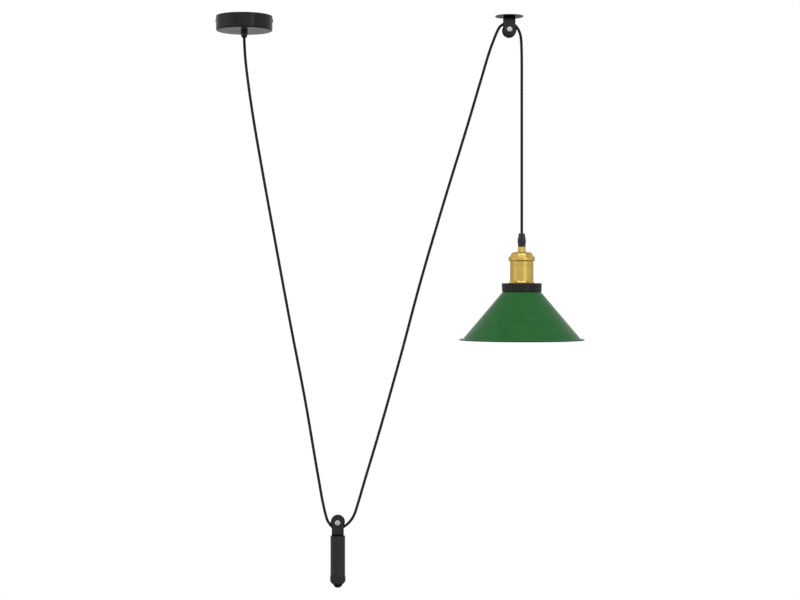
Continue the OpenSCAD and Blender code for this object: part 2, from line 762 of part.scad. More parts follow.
// A sheave about the Y axis, with a round-bottomed groove and open sides to it
module sheave() {
    groove_centre = groove_d / 2 + groove_r;
    rim = sheave_d / 2;
    facing_viewer() rotate_extrude() difference() {
        translate([bush_d / 2 + bush_play, -sheave_w / 2])
            square([rim - bush_d / 2 - bush_play, sheave_w]);
        translate([groove_centre, 0]) circle(groove_r);
        polygon([
            [groove_centre - groove_r / 2, groove_r * 0.86], [rim + 1, groove_r + groove_flare],
            [rim + 1, -groove_r - groove_flare], [groove_centre - groove_r / 2, -groove_r * 0.86]
        ]);
        for (side = [-1, 1])
            translate([rim, side * sheave_w / 2]) rotate(45) square(0.7, center = true);
        for (side = [-1, 1])
            translate([bush_d / 2 + sheave_hub_wall, side > 0 ? sheave_w / 2 - sheave_recess : -sheave_w / 2])
                square([sheave_recess_w, sheave_recess]);
    }
}

// The bright button-head screw through a fork, its head towards the viewer
module axle_screw() {
    end_y = washer_y + axle_nut_h + 1;
    facing_viewer() difference() {
        union() {
            translate([0, 0, washer_y]) button_head();
            translate([0, 0, -end_y]) cylinder(d = axle_d, h = end_y + washer_y + axle_head_h / 2);
        }
        translate([0, 0, washer_y + axle_head_h - 1.6]) hexagon(socket_key_af, 3);
    }
}

// A low dome with a short straight edge, standing on z = 0
module button_head() {
    edge_h = 0.5;
    rise = axle_head_h - edge_h;
    top_r = 0.2 * axle_head_d;
    half = axle_head_d / 2 - top_r;
    ball_r = (pow(half, 2) + pow(rise, 2)) / (2 * rise);
    rotate_extrude() {
        square([axle_head_d / 2, edge_h]);
        square([top_r, axle_head_h]);
        intersection() {
            translate([top_r, edge_h]) square([half, rise]);
            translate([top_r, axle_head_h - ball_r]) circle(ball_r);
        }
    }
}

module axle_bush() {
    facing_viewer() translate([0, 0, -fork_gap / 2]) pipe(bush_d, axle_hole_d, fork_gap);
}

module axle_washers() {
    for (side = [-1, 1])
        facing_viewer()
            translate([0, 0, side > 0 ? ear_y : -washer_y]) pipe(washer_d, axle_hole_d, washer_t);
}

module axle_nut() {
    facing_viewer() translate([0, 0, -washer_y - axle_nut_h]) hex_nut(axle_nut_af, axle_nut_h, axle_hole_d);
}

// Places its children at the axle of the ceiling pulley
module at_ceiling_axle() {
    translate([pulley_x, 0, pulley_z]) children();
}

// Places its children at the axle of the counterweight
module at_weight_axle() {
    translate([weight_x, 0, weight_z]) children();
}

module ceiling_fork() color([0.14, 0.14, 0.14]) {
    difference() {
        translate([pulley_x, 0, plate_under_z]) fork();
        for (side = [-1, 1])
            translate([pulley_x + side * rivet_spacing / 2, 0, plate_under_z - fork_t - through])
                cylinder(d = rivet_d + 2 * seat_play, h = fork_t + 2 * through);
    }
}

module ceiling_fork_rivets() color([0.2, 0.2, 0.2]) {
    for (side = [-1, 1])
        translate([pulley_x + side * rivet_spacing / 2, 0, 0]) {
            translate([0, 0, plate_under_z - fork_t]) cylinder(d = rivet_d, h = plate_t + fork_t);
            translate([0, 0, plate_under_z - fork_t - rivet_head_h])
                cylinder(d1 = rivet_d, d2 = 1.7 * rivet_d, h = rivet_head_h);
        }
}

module ceiling_axle_screw() color([0.85, 0.85, 0.86]) at_ceiling_axle() axle_screw();

module ceiling_axle_bush() color([0.7, 0.58, 0.34]) at_ceiling_axle() axle_bush();

module ceiling_axle_washers() color([0.06, 0.06, 0.06]) at_ceiling_axle() axle_washers();

module ceiling_axle_nut() color([0.8, 0.8, 0.82]) at_ceiling_axle() axle_nut();

module ceiling_sheave() color([0.06, 0.06, 0.06]) at_ceiling_axle() sheave();

// ---- Cable -----------------------------------------------------------------------

module flex_canopy_leg() color([0.15, 0.15, 0.15]) cable_stretch(0, weight_in);

module flex_weight_wrap() color([0.15, 0.15, 0.15]) cable_stretch(weight_in, weight_out);

module flex_pulley_leg() color([0.15, 0.15, 0.15]) cable_stretch(weight_out, pulley_in);

module flex_pulley_wrap() color([0.15, 0.15, 0.15]) cable_stretch(pulley_in, pulley_out);

module flex_lamp_drop() color([0.15, 0.15, 0.15]) cable_stretch(pulley_out, route_end);

module flex_lamp_tail() color([0.15, 0.15, 0.15]) on_lamp_axis()
    swept_tube(
        [for (z = [grip_top_z, lamp_nipple_end_z - 1]) [[0, 0, z], [0, 0, -1]]],
        cable_d, cable_sides
    );

// ---- Counterweight ---------------------------------------------------------------

module weight_fork() color([0.12, 0.12, 0.12]) {
    difference() {
        translate([weight_x, 0, sleeve_top_z]) rotate([180, 0, 0]) fork();
        on_weight_axis() translate([0, 0, sleeve_top_z - through])
            cylinder(d = rod_d + 2 * fit_play, h = fork_t + 2 * through);
    }
}

module weight_axle_screw() color([0.85, 0.85, 0.86]) at_weight_axle() axle_screw();

module weight_axle_bush() color([0.7, 0.58, 0.34]) at_weight_axle() axle_bush();

module weight_axle_washers() color([0.06, 0.06, 0.06]) at_weight_axle() axle_washers();

module weight_axle_nut() color([0.8, 0.8, 0.82]) at_weight_axle() axle_nut();

module weight_sheave() color([0.06, 0.06, 0.06]) at_weight_axle() sheave();

module weight_tie_rod() color([0.7, 0.71, 0.73]) on_weight_axis() {
    translate([0, 0, rod_end_z]) cylinder(d = rod_d, h = rod_top_z - rod_end_z);
}

module weight_rod_nut() color([0.7, 0.71, 0.73]) on_weight_axis() {
    translate([0, 0, sleeve_top_z + fork_t]) hex_nut(rod_nut_af, rod_nut_h, rod_d + 2 * seat_play);
}

module weight_sleeve() color([0.17, 0.17, 0.17]) on_weight_axis() {
    difference() {
        translate([0, 0, sleeve_end_z]) rotate_extrude() difference() {
            square([sleeve_d / 2, sleeve_h]);
            square([sleeve_d / 2 - sleeve_wall, sleeve_h - sleeve_lid_t]);
            translate([sleeve_d / 2, sleeve_h]) rotate(45) square(0.7, center = true);
        }
        translate([0, 0, sleeve_top_z - sleeve_lid_t - through])
            cylinder(d = rod_d + 2 * fit_play, h = sleeve_lid_t + 2 * through);
    }
}

module weight_core() color([0.35, 0.35, 0.36]) on_weight_axis() {
    core_h = sleeve_h - sleeve_lid_t - spigot_h - 2 * seat_play;
    translate([0, 0, sleeve_end_z + spigot_h + seat_play])
        pipe(sleeve_d - 2 * sleeve_wall - 2 * sleeve_play, rod_d + 2 * fit_play, core_h);
}

module weight_end_cap() color([0.11, 0.11, 0.11]) on_weight_axis() {
    band_r = end_cap_d / 2;
    difference() {
        turned([
            [0, end_cap_foot_z], [end_cap_foot_d / 2, end_cap_foot_z],
            [band_r, end_cap_z + 0.5], [band_r, sleeve_end_z - 0.5], [band_r - 0.5, sleeve_end_z],
            [sleeve_d / 2 - sleeve_wall - sleeve_play, sleeve_end_z],
            [sleeve_d / 2 - sleeve_wall - sleeve_play, sleeve_end_z + spigot_h],
            [0, sleeve_end_z + spigot_h]
        ]);
        translate([0, 0, end_cap_foot_z - through])
            cylinder(d = rod_d + 2 * fit_play, h = end_cap_h + end_cap_chamfer_h + spigot_h + 2 * through);
    }
}

module weight_dome_nut() color([0.07, 0.07, 0.07]) on_weight_axis() {
    straight_h = 1.8;
    dome_r = dome_nut_d / 2;
    rise = dome_nut_h - straight_h;
    difference() {
        translate([0, 0, end_cap_foot_z]) rotate([180, 0, 0]) rotate_extrude() {
            square([dome_r, straight_h]);
            intersection() {
                translate([0, straight_h]) square([dome_r, rise]);
                translate([0, dome_nut_h - dome_ball_r(dome_r, rise)]) circle(dome_ball_r(dome_r, rise));
            }
        }
        translate([0, 0, rod_end_z - seat_play])
            cylinder(d = rod_d + 2 * seat_play, h = dome_nut_h);
    }
}

// Radius of the ball whose cap has this base radius and rise
function dome_ball_r(base_r, rise) = (pow(base_r, 2) + pow(rise, 2)) / (2 * rise);

// ---- Lamp ------------------------------------------------------------------------

module lamp_grip_cap() color([0.08, 0.08, 0.09]) on_lamp_axis() {
    tip_h = 3;
    difference() {
        union() {
            translate([0, 0, grip_mid_z]) hex_taper(lamp_grip_mid_af, lamp_grip_top_af, lamp_cap_h - tip_h);
            translate([0, 0, grip_top_z - tip_h]) hexagon(lamp_grip_top_af, tip_h);
        }
        translate([0, 0, grip_mid_z - through]) cylinder(d = grip_bore_d, h = lamp_cap_h + 2 * through);
        translate([0, 0, grip_mid_z - through])
            cylinder(d = boss_d + 2 * fit_play, h = boss_h + through + seat_play);
    }
}

module lamp_grip_base() color([0.08, 0.08, 0.09]) on_lamp_axis() {
    difference() {
        union() {
            translate([0, 0, neck_top_z]) hex_taper(lamp_grip_foot_af, lamp_grip_mid_af, lamp_base_h);
            translate([0, 0, grip_mid_z - through]) cylinder(d = boss_d, h = boss_h + through);
            translate([0, 0, lamp_nipple_end_z])
                cylinder(d = nipple_d, h = neck_top_z - lamp_nipple_end_z + through);
        }
        translate([0, 0, lamp_nipple_end_z - through])
            cylinder(d = grip_bore_d, h = grip_mid_z + boss_h - lamp_nipple_end_z + 2 * through);
    }
}

module lamp_grip_locknut() color([0.72, 0.73, 0.75]) on_lamp_axis() {
    translate([0, 0, shoulder_under_z - lug_t - locknut_h]) hex_nut(locknut_af, locknut_h, nipple_hole_d);
}

// Half section of the holder's shoulder: a disc with a rounded outer edge, its top at z = 0
module shoulder_section(r, edge_r, h) {
    translate([0, -h]) square([r, h - edge_r]);
    translate([0, -edge_r]) square([r - edge_r, edge_r]);
    translate([r - edge_r, -edge_r]) circle(edge_r);
}

// Half section of the holder's flange, with both outer edges rounded
module flange_section() {
    edge_r = 2;
    translate([0, flange_end_z + edge_r]) square([flange_d / 2, flange_h - 2 * edge_r]);
    translate([0, flange_end_z]) square([flange_d / 2 - edge_r, flange_h]);
    for (z = [flange_end_z + edge_r, flange_top_z - edge_r])
        translate([flange_d / 2 - edge_r, z]) circle(edge_r);
}

module holder_cap() color([0.75, 0.62, 0.32]) on_lamp_axis() {
    fillet = 1.8;
    shoulder_h = shoulder_z - flange_top_z + 1;
    cavity_r = shoulder_d / 2 - holder_cap_wall;
    difference() {
        rotate_extrude() difference() {
            union() {
                translate([0, shoulder_z - 1]) square([neck_d / 2, neck_h + 1]);
                translate([0, shoulder_z]) shoulder_section(shoulder_d / 2, shoulder_r, shoulder_h);
                flange_section();
                difference() {
                    translate([neck_d / 2 - 1, shoulder_z - 1]) square(fillet + 1);
                    translate([neck_d / 2 + fillet, shoulder_z + fillet]) circle(fillet);
                }
            }
            translate([0, shoulder_under_z])
                shoulder_section(cavity_r, shoulder_r - holder_cap_wall, shoulder_under_z - holder_top_z + 1);
            translate([0, flange_end_z - 1]) square([cap_bore_d / 2, holder_top_z - flange_end_z + 1.2]);
        }
        translate([0, 0, shoulder_under_z - through]) cylinder(d = nipple_hole_d, h = neck_h * 2);
    }
}

module holder_body() color([0.75, 0.62, 0.32]) on_lamp_axis() {
    groove_z = flange_end_z - holder_groove_drop;
    flare_r = (pow(foot_h, 2) + pow((foot_d - holder_d) / 2, 2)) / (foot_d - holder_d);
    rotate_extrude() difference() {
        union() {
            translate([0, holder_foot_z]) square([holder_d / 2, holder_h]);
            translate([0, flange_end_z - 1]) square([holder_thread_d / 2, holder_top_z - flange_end_z + 1]);
            translate([0, holder_end_z]) square([shade_thread_d / 2, holder_foot_z - holder_end_z + 1]);
            difference() {
                translate([0, holder_foot_z]) square([foot_d / 2, foot_h]);
                translate([holder_d / 2 + flare_r, holder_foot_z + foot_h]) circle(flare_r);
            }
        }
        translate([0, holder_ledge_z]) square([holder_bore_d / 2, holder_top_z - holder_ledge_z + 1]);
        translate([0, holder_end_z - 1]) square([sleeve_bore_d / 2, holder_ledge_z - holder_end_z + 2]);
        translate([0, insert_flange_z]) square([retainer_d / 2 + seat_play, retainer_t + seat_play]);
        translate([holder_d / 2, groove_z]) circle(d = holder_groove_w);
    }
}

// Outline of a ribbed ring of this diameter
module ribbed_outline(d) {
    rib_span = 360 / ring_ribs;
    polygon([for (i = [0:ring_ribs - 1], k = [0:3])
        let (a = (i + [0, 0.28, 0.5, 0.78][k]) * rib_span, r = d / 2 - (k < 2 ? 0 : rib_depth))
            r * [cos(a), sin(a)]]);
}

module shade_ring_upper() color([0.1, 0.1, 0.11]) on_lamp_axis() {
    bore_d = shade_thread_d + 2 * thread_play;
    hub_d = bore_d + 2 * ring_wall;
    rim_d = upper_ring_d - 2 * ring_wall - 2 * rib_depth;
    edge = 1;
    difference() {
        intersection() {
            translate([0, 0, shade_seat_z]) linear_extrude(upper_ring_h) ribbed_outline(upper_ring_d);
            turned([
                [0, shade_seat_z], [upper_ring_d / 2 - 0.5, shade_seat_z],
                [upper_ring_d / 2, shade_seat_z + upper_ring_h / 2], [upper_ring_d / 2, holder_foot_z - edge],
                [upper_ring_d / 2 - edge, holder_foot_z], [0, holder_foot_z]
            ]);
        }
        translate([0, 0, shade_seat_z - through]) cylinder(d = bore_d, h = upper_ring_h + 2 * through);
        translate([0, 0, shade_seat_z - through])
            pipe(rim_d, hub_d, upper_ring_h - ring_wall + through);
    }
}

module shade_ring_lower() color([0.1, 0.1, 0.11]) on_lamp_axis() {
    difference() {
        translate([0, 0, lower_ring_end_z]) linear_extrude(lower_ring_h) ribbed_outline(lower_ring_d);
        translate([0, 0, lower_ring_end_z - through])
            cylinder(d = shade_thread_d + 2 * thread_play, h = lower_ring_h + 2 * through);
    }
}

// Direction, in degrees, of the straight line that leaves a convex arc and runs into a concave one
function crossed_tangent(c1, r1, c2, r2) =
    let (d = c2 - c1) atan2(d[1], d[0]) - asin((r1 + r2) / norm(d));

module shade() color([0.16, 0.4, 0.21]) on_lamp_axis() {
    hole_r = shade_hole_d / 2;
    bead_r = bead_d / 2;
    bead_c = [shade_d / 2 - bead_r, brim_z - shade_wall / 2];
    bead_a = 180 - asin(shade_wall / bead_d);
    top_c = [shade_top_d / 2 - shade_corner_r, shade_seat_z - shade_corner_r];
    foot_c = [bead_c[0] - brim_w, brim_z + brim_fillet_r];
    slope = crossed_tangent(top_c, shade_corner_r, foot_c, brim_fillet_r);
    turned(concat(
        [[hole_r, shade_seat_z]],
        arc(top_c, shade_corner_r, 90, 90 + slope, 5),
        arc(foot_c, brim_fillet_r, 270 + slope, 270, 5),
        arc(bead_c, bead_r, bead_a, -bead_a, 12),
        arc(foot_c, brim_fillet_r + shade_wall, 270, 270 + slope, 5),
        arc(top_c, shade_corner_r - shade_wall, 90 + slope, 90, 4),
        [[hole_r, shade_under_z]]
    ));
}

module socket_insulator() color([0.93, 0.92, 0.9]) on_lamp_axis() {
    difference() {
        union() {
            translate([0, 0, insert_end_z]) cylinder(d = insert_d, h = insert_h);
            translate([0, 0, holder_ledge_z]) cylinder(d = insert_flange_d, h = insert_flange_h);
        }
        translate([0, 0, insert_end_z - through])
            cylinder(d = insert_bore_d, h = shell_seat_z - insert_end_z + through);
        translate([0, 0, shell_seat_z - through])
            cylinder(d = screw_shell_d - 2 * shell_lip_w, h = contact_room_h + through);
        translate([0, 0, insert_roof_z - through])
            cylinder(d = contact_rod_d + 2 * fit_play, h = insert_roof + 2 * through);
        for (side = [-1, 1])
            translate([side * post_spacing / 2, 0, insert_top_z - post_foot_h - fit_play])
                cylinder(d = post_foot_d + 2 * fit_play, h = post_foot_h + through);
    }
}

module socket_retaining_ring() color([0.75, 0.76, 0.78]) on_lamp_axis() {
    translate([0, 0, insert_flange_z])
        difference() {
            pipe(retainer_d, insert_d + 0.4, retainer_t - seat_play);
            translate([0, -retainer_gap / 2, -through])
                cube([retainer_d, retainer_gap, retainer_t + 2 * through]);
        }
}

module socket_screw_shell() color([0.82, 0.8, 0.72]) on_lamp_axis() {
    translate([0, 0, shell_seat_z - screw_shell_h]) {
        pipe(shell_outer_d, screw_shell_d, screw_shell_h);
        translate([0, 0, screw_shell_h - screw_shell_wall])
            pipe(screw_shell_d + screw_shell_wall, screw_shell_d - 2 * shell_lip_w, screw_shell_wall);
    }
}

module socket_centre_contact() color([0.82, 0.7, 0.4]) on_lamp_axis() {
    translate([0, 0, insert_roof_z]) {
        translate([0, 0, -0.6]) cylinder(d = 9, h = 0.6);
        translate([0, 0, -3]) cylinder(d1 = 3.4, d2 = 6, h = 2.5);
        cylinder(d = contact_rod_d, h = insert_roof);
        translate([0, 0, insert_roof]) cylinder(d = 5.6, h = 1);
    }
}

module socket_terminals() color([0.82, 0.7, 0.4]) on_lamp_axis() {
    for (side = [-1, 1])
        translate([side * post_spacing / 2, 0, insert_top_z])
            difference() {
                union() {
                    translate([-post_w / 2, -post_w / 2, 0]) cube([post_w, post_w, post_h]);
                    translate([0, 0, -post_foot_h]) cylinder(d = post_foot_d, h = post_foot_h + through);
                }
                translate([0, 0, post_h - post_bore_depth])
                    cylinder(d = core_d + 0.6, h = post_bore_depth + through);
                translate([0, 0, post_h - post_screw_drop]) rotate([90, 0, 0])
                    cylinder(d = post_screw_d + fit_play, h = post_w);
            }
}

module socket_terminal_screws() color([0.72, 0.73, 0.75]) on_lamp_axis() {
    for (side = [-1, 1])
        translate([side * post_spacing / 2, -post_w / 2, insert_top_z + post_h - post_screw_drop])
            rotate([90, 0, 0]) pan_screw(post_screw_d, 4, 1.5, post_w / 2 - core_d / 2 - seat_play);
}

// A core from the cable's end down and out into a terminal post
module post_wire(n, side) {
    end_z = lamp_nipple_end_z - 1;
    s = core_start(n, end_z);
    x = side * post_spacing / 2;
    post_top_z = insert_top_z + post_h;
    core_wire([
        s, s - [0, 0, 1.4], s + [side * 1.2, 0, -3.2], [x * 0.62, s[1] * 0.5, post_top_z + 2.6],
        [x * 0.93, 0, post_top_z + 1.9], [x, 0, post_top_z + 0.4], [x, 0, post_top_z - post_bore_depth + 0.6]
    ]);
}

module lamp_live_wire() color([0.45, 0.27, 0.14]) on_lamp_axis() post_wire(1, -1);

module lamp_neutral_wire() color([0.16, 0.36, 0.68]) on_lamp_axis() post_wire(2, 1);

module lamp_earth_wire() color([0.45, 0.62, 0.16]) on_lamp_axis() {
    end_z = lamp_nipple_end_z - 1;
    s = core_start(0, end_z);
    lug_r = locknut_af / 2 / cos(30) + 0.8;
    core_wire([
        s, s - [0, 0, 1.2], s + [0, 1.6, -2.4], [0, 5.4, end_z - 2.2], [0, lug_r + 1.4, end_z - 0.2],
        [0, lug_r + 1.9, end_z + 2.4], [0, lug_r + 1.6, shoulder_under_z - lug_t / 2]
    ], [1, 0, 0]);
    translate([0, 0, shoulder_under_z - lug_t]) {
        pipe(locknut_af, nipple_hole_d, lug_t);
        translate([-1.4, locknut_af / 2 - 0.8, 0]) cube([2.8, lug_r + 2.4 - locknut_af / 2 + 0.8, lug_t]);
    }
}

canopy_cup();
mounting_bracket();
canopy_side_screws();
canopy_grip_stem();
canopy_grip_cap();
canopy_grip_locknut();
terminal_block();
terminal_clamp_screws();
terminal_fixing_screw();
earth_screw();
canopy_live_wire();
canopy_neutral_wire();
canopy_earth_wire();
pulley_plate();
ceiling_fork();
ceiling_fork_rivets();
ceiling_axle_screw();
ceiling_axle_bush();
ceiling_axle_washers();
ceiling_axle_nut();
ceiling_sheave();
flex_canopy_leg();
flex_weight_wrap();
flex_pulley_leg();
flex_pulley_wrap();
flex_lamp_drop();
flex_lamp_tail();
weight_fork();
weight_axle_screw();
weight_axle_bush();
weight_axle_washers();
weight_axle_nut();
weight_sheave();
weight_tie_rod();
weight_rod_nut();
weight_sleeve();
weight_core();
weight_end_cap();
weight_dome_nut();
lamp_grip_cap();
lamp_grip_base();
lamp_grip_locknut();
holder_cap();
holder_body();
shade_ring_upper();
shade_ring_lower();
shade();
socket_insulator();
socket_retaining_ring();
socket_screw_shell();
socket_centre_contact();
socket_terminals();
socket_terminal_screws();
lamp_live_wire();
lamp_neutral_wire();
lamp_earth_wire();
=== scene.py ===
"""The looks of a rise and fall pendant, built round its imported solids.

A cable runs from the ceiling canopy under the counterweight's pulley, over the ceiling
pulley and down to the lamp. Lengths are in millimetres until they become a mesh.
"""

import math

import bpy
import numpy as np
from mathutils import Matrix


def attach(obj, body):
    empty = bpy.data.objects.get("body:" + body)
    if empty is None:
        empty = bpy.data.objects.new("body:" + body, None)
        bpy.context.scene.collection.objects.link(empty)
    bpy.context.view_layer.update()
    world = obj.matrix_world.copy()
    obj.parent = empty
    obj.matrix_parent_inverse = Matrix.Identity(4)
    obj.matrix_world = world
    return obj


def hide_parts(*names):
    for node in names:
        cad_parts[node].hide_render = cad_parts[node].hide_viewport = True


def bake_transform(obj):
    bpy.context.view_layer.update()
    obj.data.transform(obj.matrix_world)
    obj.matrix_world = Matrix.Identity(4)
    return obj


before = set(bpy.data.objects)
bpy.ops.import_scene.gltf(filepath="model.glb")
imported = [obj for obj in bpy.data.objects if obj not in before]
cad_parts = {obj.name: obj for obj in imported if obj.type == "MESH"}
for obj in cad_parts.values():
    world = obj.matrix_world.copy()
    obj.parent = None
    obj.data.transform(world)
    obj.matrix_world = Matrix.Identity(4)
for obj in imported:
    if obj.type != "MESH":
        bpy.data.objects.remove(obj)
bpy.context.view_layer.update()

MM = 0.001
TURN = 2 * math.pi

# Sizes shared by several pieces, in millimetres
cable_d = 4.8
pulley_x, pulley_z = 466.0, -25.0
weight_x, weight_z = 164.5, -889.8
fork_w, fork_t, fork_gap, fork_axle_h, ear_reach = 20.5, 1.5, 19.0, 23.8, 11.4
fork_bend_r = 6.6
plate_t = 1.2
ear_y = fork_gap / 2 + fork_t
washer_y = ear_y + 1.0
sleeve_top_z = weight_z - fork_axle_h

# The lamp's place, and its heights from the cord grip down to the shade's brim
lamp_x = 488.0
grip_top_z, grip_core_z, grip_joint_z, grip_end_z = -382.0, -391.0, -395.0, -420.6
neck_top_z, shoulder_z, flange_top_z = -405.6, -414.5, -422.5
body_top_z, flange_end_z = -424.0, -431.0
insert_seat_z, insert_ledge_z = -464.0, -467.0
holder_foot_z, shade_seat_z, holder_end_z = -469.5, -485.0, -493.0
brim_z = -568.5
shade_wall = 0.8

# Where the upright axis of each body's turned pieces is along X
upright_x = {"ceiling_parts": 0, "counterweight": weight_x, "lamp": lamp_x}


# ---- Camera ----

def place_camera():
    """A level camera at the photograph's height and distance, looking along +Y."""
    data = bpy.data.cameras.new("camera")
    data.sensor_width = 36
    data.lens = 76.0
    data.shift_y = -0.020
    camera = bpy.data.objects.new("camera", data)
    camera.location = (0.2739, -2.97, -0.471)
    camera.rotation_euler = (math.pi / 2, 0, 0)
    bpy.context.scene.collection.objects.link(camera)
    bpy.context.scene.camera = camera


place_camera()


# ---- Surfaces ----

def skin(name, grid, u, v, loop=False, tips=(None, None), masks=None):
    """A mesh over a grid of points (rows, columns, 3): each face joins four neighbours.

    The columns close into a hoop, and loop closes the rows as well. A tip is the point that
    closes the first or last row. u and v run along the columns and rows, in metres, with
    one more value where they close. masks holds a value for each grid point by name.
    """
    crease = math.radians(38)
    rows, cols = grid.shape[:2]
    r, c = np.meshgrid(np.arange(rows if loop else rows - 1), np.arange(cols), indexing="ij")
    r, c = r.ravel(), c.ravel()
    r2, c2 = (r + 1) % rows, (c + 1) % cols
    faces = np.stack([r * cols + c, r * cols + c2, r2 * cols + c2, r2 * cols + c], 1).tolist()
    map_u = [np.stack([u[c], u[c + 1], u[c + 1], u[c]], 1).ravel()]
    map_v = [np.stack([v[r], v[r], v[r + 1], v[r + 1]], 1).ravel()]
    points = [grid.reshape(-1, 3)]
    for tip, row, order in zip(tips, (0, rows - 1), (-1, 1)):
        if tip is None:
            continue
        hub = np.full(cols, rows * cols + len(points) - 1)
        here = row * cols + np.arange(cols)
        faces += np.stack([here, np.roll(here, -1), hub][::order], 1).tolist()
        map_u.append(np.stack([u[:-1], u[1:], (u[:-1] + u[1:]) / 2][::order], 1).ravel())
        map_v.append(np.full(3 * cols, v[row]))
        points.append(np.array([tip], float))
    points = np.concatenate(points) * MM
    mesh = bpy.data.meshes.new(name)
    mesh.from_pydata(points, [], faces)
    layer = mesh.uv_layers.new(name="surface")
    corners = np.stack([np.concatenate(map_u), np.concatenate(map_v)], 1)
    layer.data.foreach_set("uv", corners.ravel())
    for label, values in (masks or {}).items():
        attribute = mesh.attributes.new(label, "FLOAT", "POINT")
        full = np.zeros(len(points), np.float32)
        full[:rows * cols] = np.broadcast_to(values, (rows, cols)).ravel()
        attribute.data.foreach_set("value", full)
    mesh.shade_smooth()
    mesh.set_sharp_from_angle(angle=crease)
    piece = bpy.data.objects.new(name, mesh)
    bpy.context.scene.collection.objects.link(piece)
    return piece


def outline(corners, closed=True):
    """A line through corners (a, b, rounding): a rounded one is an arc that touches both sides.

    A corner without a rounding is sharp. Where half is half a corner's angle, its arc starts
    and ends radius / tan(half) from it, about a middle radius / sin(half) away between the
    sides. Returns the points and an edge mask: 1 on the arcs that stand out of a section
    drawn anticlockwise, 0 elsewhere. A guard point on each side of an arc keeps the mask
    there. It stands off by guard millimetres, or by a share of the straight part if less.
    """
    steps, guard, share = 6, 0.35, 0.4
    spots = np.array([corner[:2] for corner in corners], float)
    rounding = np.array([corner[2] if len(corner) > 2 else 0 for corner in corners], float)
    if not closed:
        rounding[[0, -1]] = 0
    sides = np.roll(spots, -1, 0) - spots
    lengths = np.linalg.norm(sides, axis=1)
    halves, reaches = np.zeros((2, len(corners)))
    for i in np.flatnonzero(rounding):
        cosine = -sides[i - 1] @ sides[i] / (lengths[i - 1] * lengths[i])
        halves[i] = math.acos(np.clip(cosine, -1, 1)) / 2
        reaches[i] = rounding[i] / math.tan(halves[i])
    spare = lengths - reaches - np.roll(reaches, -1)
    points, edge = [], []
    rows = zip(spots, rounding, halves, reaches)
    for i, (corner, radius, half, reach) in enumerate(rows):
        if radius == 0:
            points.append(corner[None])
            edge.append(np.zeros(1))
            continue
        back, ahead = -sides[i - 1] / lengths[i - 1], sides[i] / lengths[i]
        inward = (back + ahead) / np.linalg.norm(back + ahead)
        middle = corner + inward * radius / math.sin(half)
        outward = back[0] * ahead[1] - back[1] * ahead[0] < 0
        sweep = (math.pi - 2 * half) * (1 if outward else -1)
        turn = np.linspace(0, sweep, steps + 1)[:, None]
        arm = corner + back * reach - middle
        arc = middle + arm * np.cos(turn) + np.array([-arm[1], arm[0]]) * np.sin(turn)
        before, after = (min(guard, share * room) for room in (spare[i - 1], spare[i]))
        points.append(np.concatenate([
            [corner + back * (reach + before)], arc, [corner + ahead * (reach + after)]]))
        edge.append(np.concatenate([[0], np.full(steps + 1, float(outward)), [0]]))
    return np.concatenate(points), np.concatenate(edge)


def arc_points(centre, radius, first, last, steps):
    """Sharp corners on an arc of degrees first to last: centre plus radius (cos a, sin a)."""
    x, y = centre
    angle = np.radians(np.linspace(first, last, steps + 1))
    return [(x + radius * math.cos(a), y + radius * math.sin(a)) for a in angle]


def turned(name, node, look, corners, around, closed=True, axle=None, shape=None, masks=None):
    """A section turned about an axis, at each angle a: radius cos a, radius sin a, height.

    The piece stands for a node, and look is its body, slot and material. The section's
    corners are (radius, height, rounding) and run anticlockwise, so that its faces point
    out. An open section starts and ends on the axis. shape(radius, angle, height) gives the
    radius where it varies with the angle. The axis is the body's upright one, or it runs
    towards the viewer through the point axle.
    """
    body = look[0]
    line, edge = outline(corners, closed)
    tips = None, None
    if not closed:
        ends = np.array([(0, 0, line[0, 1]), (0, 0, line[-1, 1])])
        tips = list(stand(ends, body, axle))
        line, edge = line[1:-1], edge[1:-1]
    angle = np.arange(around) / around * TURN
    radius = np.repeat(line[:, :1], around, 1)
    height = np.repeat(line[:, 1:], around, 1)
    if shape:
        radius = shape(radius, angle[None], height)
    grid = np.stack([radius * np.cos(angle), radius * np.sin(angle), height], -1)
    along = run_length(np.concatenate([line, line[:1]]) if closed else line)
    hoop = np.linspace(0, TURN * line[:, 0].max() * MM, around + 1)
    shown = {"edge": edge[:, None]}
    for label, make in (masks or {}).items():
        shown[label] = make(line)[:, None]
    piece = skin(name, stand(grid, body, axle), hoop, along, closed, tips, shown)
    show(piece, node, *look)


def run_length(points):
    """How far along a line each point lies, in metres: the sum of the steps before it."""
    gaps = np.linalg.norm(np.diff(points, axis=0), axis=1)
    return np.concatenate([[0], np.cumsum(gaps)]) * MM


def stand(points, body, axle):
    """Points about an axis moved to their place. On an axle, height runs along -Y."""
    if axle:
        return np.stack([points[..., 0], -points[..., 2], points[..., 1]], -1) + axle
    return points + (upright_x[body], 0, 0)


def show(piece, node, body, slot, material):
    """Gives a piece its material and body, and hides the node that it stands for, if any. The slot
    is not used.
    """
    piece.data.materials.append(material)
    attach(piece, body)
    if node:
        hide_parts(node)


# ---- Shader nodes ----

